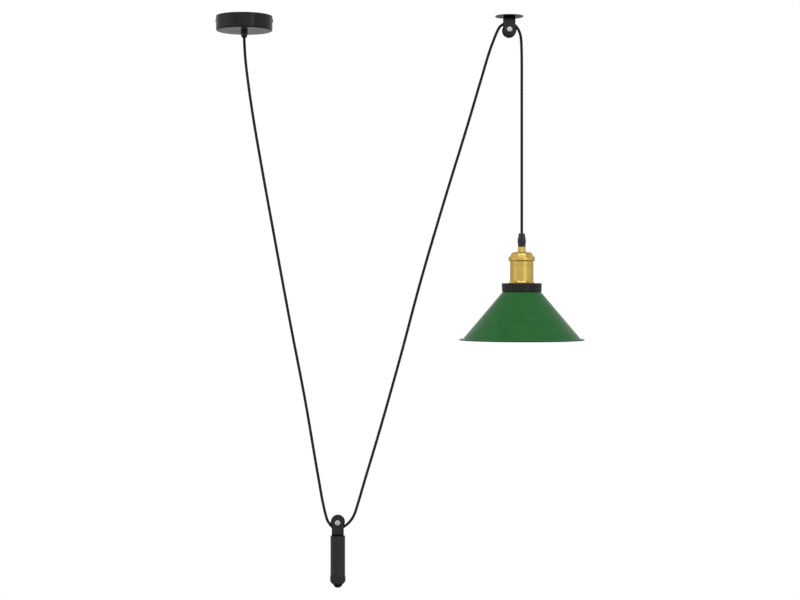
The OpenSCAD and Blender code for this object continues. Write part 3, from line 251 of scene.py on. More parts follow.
class Graph:
    """Short ways to add nodes to a tree. A value is a socket or a plain number or colour."""

    def __init__(self, tree):
        self.tree = tree
        self.nodes = tree.nodes

    def put(self, value, target):
        if isinstance(value, bpy.types.NodeSocket):
            self.tree.links.new(value, target)
        elif value is not None:
            target.default_value = value

    def add(self, kind, sockets=None, **settings):
        made = self.nodes.new("ShaderNode" + kind)
        for name, value in settings.items():
            setattr(made, name, value)
        for key, value in (sockets or {}).items():
            self.put(value, made.inputs[key])
        return made

    def math(self, operation, a, b=None, c=None):
        return self.add("Math", {0: a, 1: b, 2: c}, operation=operation).outputs[0]

    def times(self, a, b):
        return self.math("MULTIPLY", a, b)

    def times_add(self, a, b, c):
        return self.math("MULTIPLY_ADD", a, b, c)

    def span(self, value, low, high, to_low=0.0, to_high=1.0, smooth=False):
        made = self.add("MapRange", {0: value, 1: low, 2: high, 3: to_low, 4: to_high},
                        interpolation_type="SMOOTHSTEP" if smooth else "LINEAR")
        return made.outputs[0]

    def blend(self, share, first, second):
        made = self.add("Mix", {0: share, 6: first, 7: second}, data_type="RGBA")
        return made.outputs[2]

    def between(self, share, first, second):
        made = self.add("Mix", {0: share, 2: first, 3: second}, data_type="FLOAT")
        return made.outputs[0]

    def split(self, vector):
        return self.add("SeparateXYZ", {0: vector}).outputs

    def join(self, x, y, z=0.0):
        return self.add("CombineXYZ", {0: x, 1: y, 2: z}).outputs[0]

    def noise(self, vector, scale, detail, roughness=0.5):
        made = self.add("TexNoise", {"Vector": vector, "Scale": scale, "Detail": detail,
                                               "Roughness": roughness})
        return made.outputs[0]

    def place(self, kind="Object"):
        return self.add("TexCoord").outputs[kind]

    def mask(self, name):
        return self.add("Attribute", attribute_name=name).outputs["Fac"]

    def use(self, group, sockets):
        return self.add("Group", sockets, node_tree=group).outputs


def new_group(name, inputs, outputs):
    """An empty node group. An input whose value is None is a vector, the rest are floats."""
    tree = bpy.data.node_groups.new(name, "ShaderNodeTree")
    for label, value in inputs.items():
        kind = "NodeSocketVector" if value is None else "NodeSocketFloat"
        made = tree.interface.new_socket(label, in_out="INPUT", socket_type=kind)
        if value is not None:
            made.default_value = value
    for label in outputs:
        tree.interface.new_socket(label, in_out="OUTPUT", socket_type="NodeSocketFloat")
    sources, results = tree.nodes.new("NodeGroupInput"), tree.nodes.new("NodeGroupOutput")
    return Graph(tree), sources.outputs, results.inputs


def make_paint_skin():
    """Sprayed or moulded skin: fine ripples for the bump and slow clouds for the gloss."""
    g, i, o = new_group("paint_skin", {"Place": None, "Scale": 900.0}, ["Ripple", "Cloud"])
    fine = g.noise(i["Place"], i["Scale"], 2.0)
    coarse = g.noise(i["Place"], g.times(i["Scale"], 0.3), 1.0)
    g.put(g.times_add(coarse, 0.6, g.times(fine, 0.4)), o["Ripple"])
    g.put(g.span(g.noise(i["Place"], 34.0, 4.0, 0.6), 0.35, 0.68), o["Cloud"])
    return g.tree


def make_edge_wear():
    """Wear on the outward edges: the piece's edge mask, broken up by noise."""
    g, i, o = new_group("edge_wear", {"Place": None, "Edge": 0.0, "Amount": 0.5}, ["Worn"])
    broken = g.span(g.noise(i["Place"], 260.0, 5.0, 0.7), 0.34, 0.66)
    reach = g.times(i["Edge"], g.times_add(broken, 0.75, 0.25))
    g.put(g.times(reach, i["Amount"]), o["Worn"])
    return g.tree


def make_settled_dust():
    """Dust that settles on faces that look up, in soft patches."""
    g, i, o = new_group("settled_dust", {"Place": None, "Amount": 0.2}, ["Dust"])
    facing = g.span(g.split(g.place("Normal"))[2], 0.35, 0.95, smooth=True)
    patch = g.span(g.noise(i["Place"], 120.0, 5.0, 0.7), 0.32, 0.7)
    g.put(g.times(g.times(facing, patch), i["Amount"]), o["Dust"])
    return g.tree


def make_turning_lines():
    """Lines left by a lathe: noise that changes along the section and not round the axis."""
    g, i, o = new_group("turning_lines", {"Along": 0.0, "Pitch": 0.25}, ["Line", "Band"])
    across = g.math("DIVIDE", i["Along"], g.times(i["Pitch"], MM))
    flat = g.join(0.0, across, 0.37)
    g.put(g.noise(flat, 1.0, 3.0, 0.65), o["Line"])
    g.put(g.noise(flat, 0.07, 2.0), o["Band"])
    return g.tree


def make_braid():
    """A round braid: strands run both ways round the cable and pass over each other.

    Each way counts strands as it goes round and along. The two counts make diamonds, and
    which strand lies on top changes from one diamond to the next.
    """
    g, i, o = new_group("braid", {"Around": 0.0, "Along": 0.0, "Strands": 12.0, "Lead": 15.0},
                        ["Height", "Crown", "Strand"])
    turns = g.math("DIVIDE", i["Along"], g.times(i["Lead"], MM))
    ways = [g.times(g.math(sign, i["Around"], turns), i["Strands"])
            for sign in ("ADD", "SUBTRACT")]
    inside = [g.math("SINE", g.times(g.math("FRACT", w), math.pi)) for w in ways]
    cells = g.math("ADD", g.math("FLOOR", ways[0]), g.math("FLOOR", ways[1]))
    top = g.math("PINGPONG", cells, 1.0)
    over = [g.times(a, g.times_add(b, 0.5, 0.5)) for a, b in (inside, inside[::-1])]
    first = g.times(over[0], top)
    second = g.times(over[1], g.math("SUBTRACT", 1.0, top))
    height = g.math("ADD", first, second)
    g.put(height, o["Height"])
    # Crown marks the strands' tops, which the textile paints paler as a painted highlight
    g.put(g.span(height, 0.55, 1.0, smooth=True), o["Crown"])
    lane = g.between(top, g.math("FLOOR", ways[1]), g.math("FLOOR", ways[0]))
    tint = g.add("TexWhiteNoise", {"W": lane}, noise_dimensions="1D")
    g.put(tint.outputs[0], o["Strand"])
    return g.tree


paint_skin = make_paint_skin()
edge_wear = make_edge_wear()
settled_dust = make_settled_dust()
turning_lines = make_turning_lines()
braid = make_braid()


# ---- Materials ----

def rgb(red, green, blue):
    """A colour written from 0 to 255 as the eye sees it, in the renderer's linear values."""
    part = np.array([red, green, blue]) / 255
    linear = np.where(part <= 0.04045, part / 12.92, ((part + 0.055) / 1.055) ** 2.4)
    return (*linear.tolist(), 1.0)


def scaled(colour, share, lift=0.0):
    """A colour with its three parts times share plus lift, at most 1."""
    return (*(min(1.0, share * part + lift) for part in colour[:3]), 1.0)


def new_material(name, **sockets):
    """A material with one plain shader; sockets hold the values that are the same all over."""
    made = bpy.data.materials.new(name)
    made.use_nodes = True
    g = Graph(made.node_tree)
    shader = g.nodes["Principled BSDF"]
    for key, value in sockets.items():
        shader.inputs[key.replace("_", " ")].default_value = value
    return made, g, shader.inputs


def bump(g, s, height, depth):
    """Tilts a shader's surface where its height varies, by up to depth millimetres."""
    made = g.add("Bump", {"Strength": 1.0, "Distance": depth * MM, "Height": height})
    g.put(made.outputs[0], s["Normal"])


def worn_edges(g, place, amount):
    """Where the outward edges of a piece are worn."""
    return g.use(edge_wear, {"Place": place, "Edge": g.mask("edge"), "Amount": amount})["Worn"]


pale_dust = rgb(150, 146, 138)


def painted(name, colour, rough, specular=0.5, ripple=900.0, depth=0.02, dust=0.12, wear=0.0,
            bare=None, **sockets):
    """Paint or moulded plastic: ripples, clouded gloss, settled dust and worn edges.

    ripple is the ripples' scale and depth their height in millimetres. Edges wear to bare.
    """
    made, g, s = new_material(name, Specular_IOR_Level=specular, **sockets)
    place = g.place()
    skin_of = g.use(paint_skin, {"Place": place, "Scale": ripple})
    dusty = g.use(settled_dust, {"Place": place, "Amount": dust})["Dust"]
    worn = worn_edges(g, place, wear)
    light = scaled(colour, 1.25, 0.001)
    tone = g.blend(skin_of["Cloud"], scaled(colour, 0.82), light)
    tone = g.blend(worn, tone, bare or light)
    g.put(g.blend(dusty, tone, pale_dust), s["Base Color"])
    gloss = g.span(skin_of["Cloud"], 0.0, 1.0, rough - 0.04, rough + 0.04)
    g.put(g.times_add(dusty, 0.35, gloss), s["Roughness"])
    bump(g, s, skin_of["Ripple"], depth)
    return made


def lathe_metal(name, colour, rough, pitch, metallic=1.0, uv=True):
    """Turned or plated metal: fine lines round the axis, clouded gloss and faint stains.

    The lines are spaced by the surface's own map, or by height on a solid that has none.
    """
    made, g, s = new_material(name, Metallic=metallic)
    place = g.place()
    parts = g.split(g.place("UV") if uv else place)
    lines = g.use(turning_lines, {"Along": parts[1] if uv else parts[2], "Pitch": pitch})
    cloud = g.use(paint_skin, {"Place": place, "Scale": 500.0})["Cloud"]
    worn = worn_edges(g, place, 0.4)
    stain = g.times(cloud, g.span(lines["Band"], 0.3, 0.7))
    tone = g.blend(stain, colour, scaled(colour, 0.88))
    g.put(g.blend(worn, tone, scaled(colour, 1.12)), s["Base Color"])
    gloss = g.times_add(g.math("SUBTRACT", lines["Line"], 0.5), 0.22, rough)
    g.put(g.times_add(cloud, 0.06, gloss), s["Roughness"])
    bump(g, s, lines["Line"], 0.004)
    return made


def textile(name):
    """Braided black textile with loose fibres: painted shade in the strands' valleys, painted
    highlight on their crowns.
    """
    made, g, s = new_material(name, Specular_IOR_Level=0.08, Sheen_Weight=0.05,
                              Sheen_Roughness=0.45)
    # Painted shade for the valleys between the strands and a painted highlight for their crowns
    valley_shade, crown_highlight = rgb(20, 21, 22), rgb(50, 52, 53)
    odd_strand, stray = rgb(64, 66, 68), rgb(74, 76, 78)
    around, along = g.split(g.place("UV"))[:2]
    weave = g.use(braid, {"Around": around, "Along": along})
    lanes = g.join(g.times(around, 60.0), g.times(along, 900.0))
    fibre = g.noise(lanes, 1.0, 4.0, 0.7)
    # The crowns are painted paler and the valleys darker: painted highlight and painted shade
    tone = g.blend(weave["Crown"], valley_shade, crown_highlight)
    tone = g.blend(g.times(weave["Strand"], 0.25), tone, odd_strand)
    g.put(g.blend(g.span(fibre, 0.45, 0.8, 0.0, 0.3), tone, stray), s["Base Color"])
    g.put(g.span(fibre, 0.2, 0.8, 0.72, 0.95), s["Roughness"])
    height = g.times_add(fibre, 0.25, weave["Height"])
    bump(g, s, height, 0.3)
    return made


def enamel(name):
    """Gloss enamel: green outside, warm white inside, with ripples, tiny specks and painted shade
    on the rolled bead.
    """
    made, g, s = new_material(name, Specular_IOR_Level=0.12)
    place = g.place()
    skin_of = g.use(paint_skin, {"Place": place, "Scale": 420.0})
    inner = g.mask("inside")
    outer = g.blend(skin_of["Cloud"], rgb(38, 96, 49), rgb(46, 103, 56))
    speck = g.span(g.noise(place, 1500.0, 0.0), 0.78, 0.86, 0.0, 0.35)
    outer = g.blend(speck, outer, rgb(30, 84, 44))
    worn = worn_edges(g, place, 0.55)
    outer = g.blend(worn, outer, rgb(24, 46, 30))
    # The rolled bead is painted darker: painted shade along the rim
    outer = g.blend(g.times(g.mask("bead"), 0.8), outer, rgb(18, 42, 24))
    g.put(g.blend(inner, outer, rgb(232, 230, 222)), s["Base Color"])
    gloss = g.span(skin_of["Cloud"], 0.0, 1.0, 0.2, 0.27)
    g.put(g.times_add(inner, 0.2, gloss), s["Roughness"])
    bump(g, s, skin_of["Ripple"], 0.02)
    return made


def insulated(name, colour, stripe=None):
    """Smooth core insulation, with a second colour along half of it for the earth core."""
    made, g, s = new_material(name)
    place = g.place()
    skin_of = g.use(paint_skin, {"Place": place, "Scale": 1200.0})
    tone = g.blend(g.times(skin_of["Cloud"], 0.35), colour, rgb(40, 38, 36))
    if stripe:
        side = g.split(g.place("Normal"))[1]
        tone = g.blend(g.span(side, -0.15, 0.15), tone, stripe)
    g.put(tone, s["Base Color"])
    g.put(g.span(skin_of["Cloud"], 0.0, 1.0, 0.38, 0.5), s["Roughness"])
    bump(g, s, skin_of["Ripple"], 0.01)
    return made


canopy_paint = painted("canopy_satin_black", rgb(23, 24, 24), 0.23, specular=0.26, depth=0.004,
                       dust=0.0, wear=0.1)
pulley_paint = painted("pulley_satin_black", rgb(33, 33, 33), 0.34, specular=0.3, wear=0.25,
                       bare=rgb(80, 79, 77))
weight_paint = painted("weight_satin_black", rgb(34, 35, 35), 0.28, specular=0.27, wear=0.2,
                       bare=rgb(70, 69, 68))
# The dome nut's black, far darker than the rest of the counterweight's: partly its own gloss
# finish, partly painted shade under the weight
weight_gloss_shade = painted("weight_gloss_black_shaded", rgb(5, 5, 5), 0.2, specular=0.14, wear=0.3,
                       bare=rgb(44, 44, 43))
grip_nylon = painted("grip_black_nylon", rgb(32, 33, 34), 0.3, specular=0.42, ripple=1600.0,
                     depth=0.012)
sheave_nylon = painted("sheave_black_nylon", rgb(9, 9, 9), 0.38, specular=0.1, ripple=1400.0,
                       depth=0.012)
ring_phenolic = painted("ring_black_phenolic", rgb(9, 12, 11), 0.15, specular=0.31,
                        ripple=1300.0, depth=0.01)
washer_oxide = painted("washer_black_oxide", rgb(22, 22, 23), 0.42, specular=0.3,
                       ripple=2400.0, depth=0.01)
block_nylon = painted("terminal_white_nylon", rgb(226, 223, 212), 0.42, dust=0.3)
porcelain_glaze = painted("porcelain_glaze", rgb(232, 229, 221), 0.18, ripple=260.0, depth=0.03,
                          dust=0.05)
zinc_plate = lathe_metal("zinc_plate", rgb(178, 180, 184), 0.3, 0.6, uv=False)
zinc_turned = lathe_metal("zinc_turned", rgb(178, 180, 184), 0.3, 0.6)
bright_plate = lathe_metal("bright_plate", rgb(206, 207, 208), 0.42, 0.5, metallic=0.8, uv=False)
contact_metal = lathe_metal("contact_brass", rgb(206, 178, 108), 0.3, 0.5, uv=False)
bush_metal = lathe_metal("bush_bronze", rgb(160, 118, 70), 0.38, 0.3, uv=False)
iron_skin = painted("core_raw_iron", rgb(84, 82, 80), 0.62, ripple=700.0, depth=0.08, Metallic=0.8)
holder_metal = lathe_metal("holder_satin_brass", rgb(220, 187, 100), 0.34, 0.22, metallic=0.85)
shell_metal = lathe_metal("shell_nickel", rgb(206, 200, 182), 0.26, 0.3)
cable_textile = textile("cable_black_textile")
shade_enamel = enamel("shade_green_enamel")
core_brown = insulated("core_brown_insulation", rgb(110, 66, 36))
core_blue = insulated("core_blue_insulation", rgb(42, 88, 168))
core_green = insulated("core_green_yellow_insulation", rgb(60, 128, 52), rgb(214, 200, 60))


# ---- Cable ----

# The route's points as (x, z), from the canopy under the counterweight's pulley and over
# the ceiling pulley to the lamp
cable_route = np.array([
    [0, -19], [0, -40], [2, -75], [7, -118], [17, -186], [29, -256], [54, -394], [80, -535],
    [107, -675], [131, -815], [139, -859], [143, -876], [146.5, -887.1], [151, -893.9],
    [155.2, -898.5], [159.5, -901.6], [164.5, -902.8], [169.8, -901.4], [174.2, -898.2],
    [179.5, -894.7], [184, -890.6], [188, -886], [192, -879.5], [195, -872.5],
    [199, -860], [212, -816], [233, -746], [273, -605], [310.5, -465], [352, -324], [395, -184],
    [416, -113], [435, -51.5], [441, -36], [444.2, -28.3], [447, -22.4], [450.3, -17.9],
    [454.5, -14.8], [459, -12.9], [463, -12], [467.5, -12], [472, -13.2], [475.7, -15.7],
    [479, -19.2], [482, -23.6], [484.3, -28.8], [486, -35], [487, -43],
    [487.6, -56], [488, -80], [488, -120], [488, -250], [488, -382], [488, -420.6]], float)

# The route's points where one cord ends and the next begins
under_weight, over_pulley, in_lamp = 16, 41, len(cable_route) - 1


def cable_line(first, last, step):
    """Centres and directions along the route from point first to point last.

    Between two points it is the cubic whose end directions are the unit sum of the two
    neighbouring chords, each direction weighted by the other chord's length.
    """
    chord = np.diff(cable_route, axis=0)
    size = np.linalg.norm(chord, axis=1)
    way = chord / size[:, None]
    inner = way[:-1] * size[1:, None] + way[1:] * size[:-1, None]
    inner /= np.linalg.norm(inner, axis=1)[:, None]
    lean = np.concatenate([way[:1], inner, way[-1:]])
    centres, ways = [], []
    for i in range(first, last):
        n = max(2, math.ceil(size[i] / step))
        u = (np.arange(n + (i == last - 1)) / n)[:, None]
        p, q = cable_route[i:i + 2]
        s, t = lean[i] * size[i], lean[i + 1] * size[i]
        centres.append((2 * u**3 - 3 * u**2 + 1) * p + (u**3 - 2 * u**2 + u) * s
                       + (3 * u**2 - 2 * u**3) * q + (u**3 - u**2) * t)
        ways.append((6 * u**2 - 6 * u) * (p - q) + (3 * u**2 - 4 * u + 1) * s
                    + (3 * u**2 - 2 * u) * t)
    centres, ways = np.concatenate(centres), np.concatenate(ways)
    return centres, ways / np.linalg.norm(ways, axis=1)[:, None]


def cable_piece(name, first, last):
    """A tube round the route: a ring is the centre plus the radius times cos a across, sin a up."""
    step, around = 3.0, 20
    centres, ways = cable_line(first, last, step)
    flat = np.zeros(len(centres))
    middle = np.stack([centres[:, 0], flat, centres[:, 1]], 1)
    across = np.stack([ways[:, 1], flat, -ways[:, 0]], 1)
    upward = np.cross(np.stack([ways[:, 0], flat, ways[:, 1]], 1), across)
    angle = (np.arange(around) / around * TURN)[None, :, None]
    ring = np.cos(angle) * across[:, None] + np.sin(angle) * upward[:, None]
    grid = middle[:, None] + cable_d / 2 * ring
    run = run_length(centres)
    piece = skin(name, grid, np.linspace(0, 1, around + 1), run, tips=(middle[0], middle[-1]))
    piece.data.materials.append(cable_textile)
    return piece


def make_cable():
    """The three stretches of cable, each a tube along the route between what holds its two ends."""
    to_weight = cable_piece("cable_canopy_to_weight", 0, under_weight)
    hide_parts("flex_canopy_leg", "flex_weight_wrap")
    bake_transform(to_weight)
    to_pulley = cable_piece("cable_weight_to_pulley", under_weight, over_pulley)
    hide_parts("flex_pulley_leg", "flex_pulley_wrap")
    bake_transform(to_pulley)
    to_lamp = cable_piece("cable_pulley_to_lamp", over_pulley, in_lamp)
    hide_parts("flex_lamp_drop", "flex_lamp_tail")
    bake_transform(to_lamp)


make_cable()


# ---- Parts of a section ----

def ladder(first, last, step):
    """Sharp corners at equal steps on a straight line from first to last."""
    rungs = max(1, round(math.dist(first, last) / step))
    return np.linspace(first, last, rungs + 1).tolist()


def wave(turns):
    """A triangle wave: 0 at whole turns and 1 half-way between them."""
    return 1 - np.abs(2 * (turns - np.floor(turns)) - 1)


def ends_fade(height, low, high, reach):
    """0 at and past two heights, and 1 from a distance of reach inside them."""
    return np.clip(np.minimum(height - low, high - height) / reach, 0, 1)


def thread(depth, pitch, low, high, outside):
    """A screw thread: the radius drops by depth times a wave of height / pitch - angle / turn.

    It fades in over half a pitch from low and high, and only rows wider than outside have it.
    """
    def shape(radius, angle, height):
        fade = ends_fade(height, low, high, pitch / 2) * (radius > outside)
        return radius - depth * fade * wave(height / pitch - angle / TURN)
    return shape


def hexagon(round_below):
    """A hexagon with soft corners, flats towards +Y and -Y: a row's radius is its half width.

    The radius is divided by the sharp-th root of the sum of the positive parts of
    cos(angle - 30 - 60 k), each raised to sharp. Rows narrower than round_below stay round,
    and the ones up to 0.3 mm wider than that are in between.
    """
    sharp = 24.0

    def shape(radius, angle, height):
        flats = np.radians(30 + 60 * np.arange(6))[:, None, None]
        total = (np.clip(np.cos(angle[None] - flats), 0, 1) ** sharp).sum(0) ** (1 / sharp)
        share = np.clip((radius - round_below) / 0.3, 0, 1)
        return radius / (1 + share * (total - 1))
    return shape


def ribbed(count, depth, inside):
    """Upright ribs: outside of a radius the surface drops by depth in the gaps of a soft wave.

    The wave is half of 1 plus tanh of 3.2 cos(count angle + 0.4) - 0.3, so the gaps have
    steep sides and are a little narrower than the ribs.
    """
    def shape(radius, angle, height):
        gap = 0.5 + 0.5 * np.tanh(3.2 * np.cos(angle * count + 0.4) - 0.3)
        return radius - depth * gap * np.clip((radius - inside) / 1.2, 0, 1)
    return shape


# ---- Canopy ----

def make_canopy():
    """The pressed cup with rounded edges, and the cord grip's stem and cap under it."""
    cup_look = "ceiling_parts", "canopy_black", canopy_paint
    grip_look = "ceiling_parts", "grip_black", grip_nylon
    radius, depth, sheet, hole = 49.5, 26, 1, 5.05
    turned("canopy_cup_pressed", "canopy_cup", cup_look, [
        (hole, -depth, 0.2), (radius, -depth, 2.4), (radius, 0, 0.8), (radius - sheet, 0, 0.1),
        (radius - sheet, sheet - depth, 1.4), (hole, sheet - depth, 0.2)], around=160)
    bore, stem_r, collar_r, collar_z = 2.65, 4.95, 6.0, -29
    turned("canopy_grip_threaded_stem", "canopy_grip_stem", grip_look, [
        (bore, -33, 0.1), (4.3, -33, 0.2), (4.3, collar_z), (collar_r, collar_z, 0.2),
        (collar_r, -26.05, 0.3), *ladder((stem_r, -26.05), (stem_r, -20.8), 0.2),
        (4.6, -20.5), (bore, -20.5, 0.2)],
        around=64, shape=thread(0.45, 1.0, -26.0, -20.6, outside=4.8))
    turned("canopy_grip_domed_cap", "canopy_grip_cap", grip_look, [
        (bore, -38, 0.1), *arc_points((3.35, -36.8), 1.2, -90, 0, 5),
        *arc_points((-5.85, -30.6), 12.0, -14, 7, 8), (collar_r, -29.02), (4.4, -29.02, 0.1),
        (4.4, -33.05), (bore, -33.05)], around=64)


# ---- Pulleys ----

def strap_path():
    """Half-width and middle line (y, z) of a fork's strap, from the back ear's end to the front's.

    The ear's end is a half circle: at angle a from its tip, the line has gone
    radius (1 - cos a) and the half-width is radius sin a.
    """
    radius, middle, bend = fork_w / 2, (fork_gap + fork_t) / 2, fork_bend_r - fork_t / 2
    end_rows, leg_rows, bend_rows, clear = 15, 3, 9, 0.4
    tip = -(fork_axle_h + ear_reach)
    a = np.radians(np.linspace(5, 90, end_rows))
    rise = tip + radius * (1 - np.cos(a))
    end = np.stack([np.full(end_rows, middle), rise], 1)
    down = np.linspace(rise[-1] + 2, -fork_bend_r - clear, leg_rows)
    leg = np.stack([np.full(leg_rows, middle), down], 1)
    b = np.linspace(0, math.pi / 2, bend_rows)
    turn = np.stack([middle - bend + bend * np.cos(b), -fork_bend_r + bend * np.sin(b)], 1)
    flat = np.array([[middle - bend - clear, -fork_t / 2]])
    half = np.concatenate([end, leg, turn, flat])
    wide = np.concatenate([radius * np.sin(a), np.full(len(half) - end_rows, radius)])
    return np.concatenate([half, half[::-1] * (-1, 1)]), np.concatenate([wide, wide[::-1]]), tip


def make_fork(name, centre, way, node, body):
    """A strap with rounded edges bent to a U: a soft rectangle carried along the strap's path.

    way is 1 for a fork that hangs from its foot and -1 for one that stands on it.
    """
    soft, per_corner = 0.35, 4
    line, wide, tip = strap_path()
    along = np.gradient(line, axis=0)
    along /= np.linalg.norm(along, axis=1)[:, None]
    out = np.stack([along[:, 1], -along[:, 0]], 1)
    corner = np.linspace(0, 90, per_corner) + 90 * np.arange(4)[:, None]
    corner = np.radians(corner).ravel()
    side = np.repeat([1, -1, -1, 1], per_corner)
    face = np.repeat([1, 1, -1, -1], per_corner)
    edge = np.minimum(soft, wide)[:, None]
    across = side * (wide[:, None] - edge) + edge * np.cos(corner)
    off = face * (fork_t / 2 - edge) + edge * np.sin(corner)
    y = line[:, :1] + off * out[:, :1]
    z = line[:, 1:] + off * out[:, 1:]
    grid = np.stack([across, way * y, way * z], -1) + centre
    ends = [np.array([0, way * line[k, 0], way * tip]) + centre for k in (0, -1)]
    girth = np.linspace(0, 2 * (fork_w + fork_t) * MM, len(corner) + 1)
    rounded = (np.abs(np.sin(2 * corner)) > 0.1).astype(float)
    piece = skin(name, grid, girth, run_length(line), tips=ends, masks={"edge": rounded})
    show(piece, node, body, "pulley_black", pulley_paint)


def make_axle_screw(name, axle, node, body):
    """A button-head screw: a ball's cap on a shank, with a hexagon socket and a threaded end."""
    shank, seat, ball, key = 2.5, 5, 3.107, 1.5
    head, end, thread_z = washer_y + 2.8, -washer_y - 5, 1 - washer_y
    corners = [(0, end), (2.2, end), *ladder((shank, end + 0.4), (shank, thread_z), 0.15),
               (shank, washer_y), (seat, washer_y, 0.12),
               *arc_points((2, head - ball), ball, 15.1, 90, 10),
               (1.9, head), (key, head, 0.15), (key, head - 1.4), (0, head - 1.7)]
    socket = hexagon(0.2)
    ridge = thread(0.3, 0.8, end + 0.2, thread_z, outside=shank - 0.05)

    def shape(radius, angle, height):
        cut = (height > head - 1.45) & (radius < key + 0.2) & (radius > 0)
        return np.where(cut, socket(radius, angle, height), ridge(radius, angle, height))

    turned(name, node, (body, "bright_steel", bright_plate), corners, around=72, closed=False,
           axle=axle, shape=shape)


def make_washers(name, axle, node, body):
    """Two black washers with soft edges, one on each side of a fork, for one node."""
    hole, rim = 2.6, 7
    look = body, "washer_black", washer_oxide
    for label, low, high, shared in (("front", ear_y, washer_y, node),
                                     ("back", -washer_y, -ear_y, None)):
        turned(f"{name}_{label}", shared, look, [
            (hole, low, 0.1), (rim, low, 0.25), (rim, high, 0.25), (hole, high, 0.1)],
            around=64, axle=axle)


def make_sheave(name, axle, node, body):
    """A wheel with a round-bottomed, flared groove and a web thinner than its hub and rim."""
    bore, hub, well, rim = 4.05, 6.2, 8.8, 12.4
    wide, web, mouth = 8.0, 5.0, 4.13
    half = [(bore, -wide, 0.2), (hub, -wide, 0.3), (hub, -web, 0.4), (well, -web, 0.4),
            (well, -wide, 0.4), (rim, -wide, 0.6), (rim, -mouth, 0.35)]
    groove = arc_points((12.65, 0), 2.65, -120.2, -239.8, 14)
    other = [(radius, -height, soft) for radius, height, soft in half[::-1]]
    turned(name, node, (body, "sheave_black", sheave_nylon), half + groove + other, around=120,
           axle=axle)


def make_pulleys():
    """Both pulleys have the same fork, wheel, washers and axle screw."""
    top, low = (pulley_x, 0, pulley_z), (weight_x, 0, weight_z)
    make_fork("ceiling_fork_strap", (pulley_x, 0, -plate_t), 1, "ceiling_fork", "ceiling_parts")
    make_fork("weight_fork_strap", (weight_x, 0, sleeve_top_z), -1, "weight_fork", "counterweight")
    for label, axle, body, wheel in (("ceiling", top, "ceiling_parts", "ceiling_wheel"),
                                     ("weight", low, "counterweight", "weight_wheel")):
        make_axle_screw(f"{label}_axle_button_screw", axle, f"{label}_axle_screw", body)
        make_washers(f"{label}_axle_washer", axle, f"{label}_axle_washers", body)
        make_sheave(f"{label}_grooved_wheel", axle, f"{label}_sheave", wheel)


# ---- Counterweight ----

def knurl(starts, depth, low, high):
    """A diamond knurl: two sets of grooves wind opposite ways round the band from low to high.

    The radius drops by depth times 1 minus the smaller of two triangle waves, of
    starts angle / turn plus and minus height / pitch, and less near the band's ends.
    """
    pitch = 1.6

    def shape(radius, angle, height):
        count = starts * angle / TURN
        peak = np.minimum(wave(count + height / pitch), wave(count - height / pitch))
        return radius - depth * ends_fade(height, low, high, 0.4) * (1 - peak)
    return shape


def make_weight():
    """Sleeve, knurled end cap, dome nut and tie rod about the counterweight's axis."""
    black = "counterweight", "weight_black", weight_paint
    # The dome nut's darker black is partly painted shade under the counterweight
    gloss = "counterweight", "weight_black", weight_gloss_shade
    zinc = "counterweight", "zinc_steel", zinc_turned
    tube, wall, bore, plug = 12.9, 1.2, 3.1, 11.6
    top, end = sleeve_top_z, sleeve_top_z - 70
    turned("weight_turned_sleeve", "weight_sleeve", black, [
        (tube - wall, end, 0.2), (tube, end, 0.3), (tube, top, 0.5), (bore, top),
        (bore, top - wall), (tube - wall, top - wall)], around=128)
    band, foot = 13.55, end - 14
    band_end, band_top = end - 9.9, end - 0.5
    turned("weight_knurled_end_cap", "weight_end_cap", black, [
        (bore, foot), (10.25, foot, 0.6), (13.4, end - 10.19),
        *ladder((band, band_end), (band, band_top), 0.2), (13.1, end),
        (plug, end), (plug, end + 4, 0.3), (bore, end + 4)],
        around=480, shape=knurl(60, 0.3, band_end, band_top))
    dome, tip = 8.82, foot - 7.5
    turned("weight_dome_nut_polished", "weight_dome_nut", gloss, [
        (0, tip), *arc_points((0, tip + dome), dome, -86, -20.7, 14),
        (8.25, foot, 0.4), (0, foot)], around=96, closed=False)
    rod, rod_end, rod_top = 3, foot - 5.5, top + 5.3
    turned("weight_threaded_tie_rod", "weight_tie_rod", zinc, [
        (0, rod_end), (rod, rod_end, 0.5), (rod, top - 4),
        *ladder((rod, top - 3.8), (rod, rod_top - 0.4), 0.2), (rod - 0.4, rod_top), (0, rod_top)],
        around=64, closed=False, shape=thread(0.4, 1.0, top - 4, rod_top, outside=2.9))


# ---- Lamp ----

def make_lamp_grip():
    """The hexagonal cord grip on the holder: a cap that tapers up and a base that tapers down."""
    look = "lamp", "grip_black", grip_nylon
    bore, wide, joint = 2.65, 6.8, grip_joint_z
    turned("lamp_grip_hexagon_cap", "lamp_grip_cap", look, [
        (4.4, joint, 0.1), (wide, joint, 0.25), (5.1, grip_top_z - 3, 0.5), (5.1, grip_top_z, 0.7),
        (bore, grip_top_z, 0.3), (bore, grip_core_z), (4.4, grip_core_z)],
        around=120, shape=hexagon(4.5))
    joint -= 0.05
    turned("lamp_grip_hexagon_base", "lamp_grip_base", look, [
        (bore, grip_end_z, 0.1), (4.95, grip_end_z, 0.3), (4.95, neck_top_z),
        (5.7, neck_top_z, 0.3), (wide, joint, 0.25), (4.3, joint),
        (4.3, grip_core_z, 0.1), (bore, grip_core_z, 0.1)], around=120, shape=hexagon(5.1))


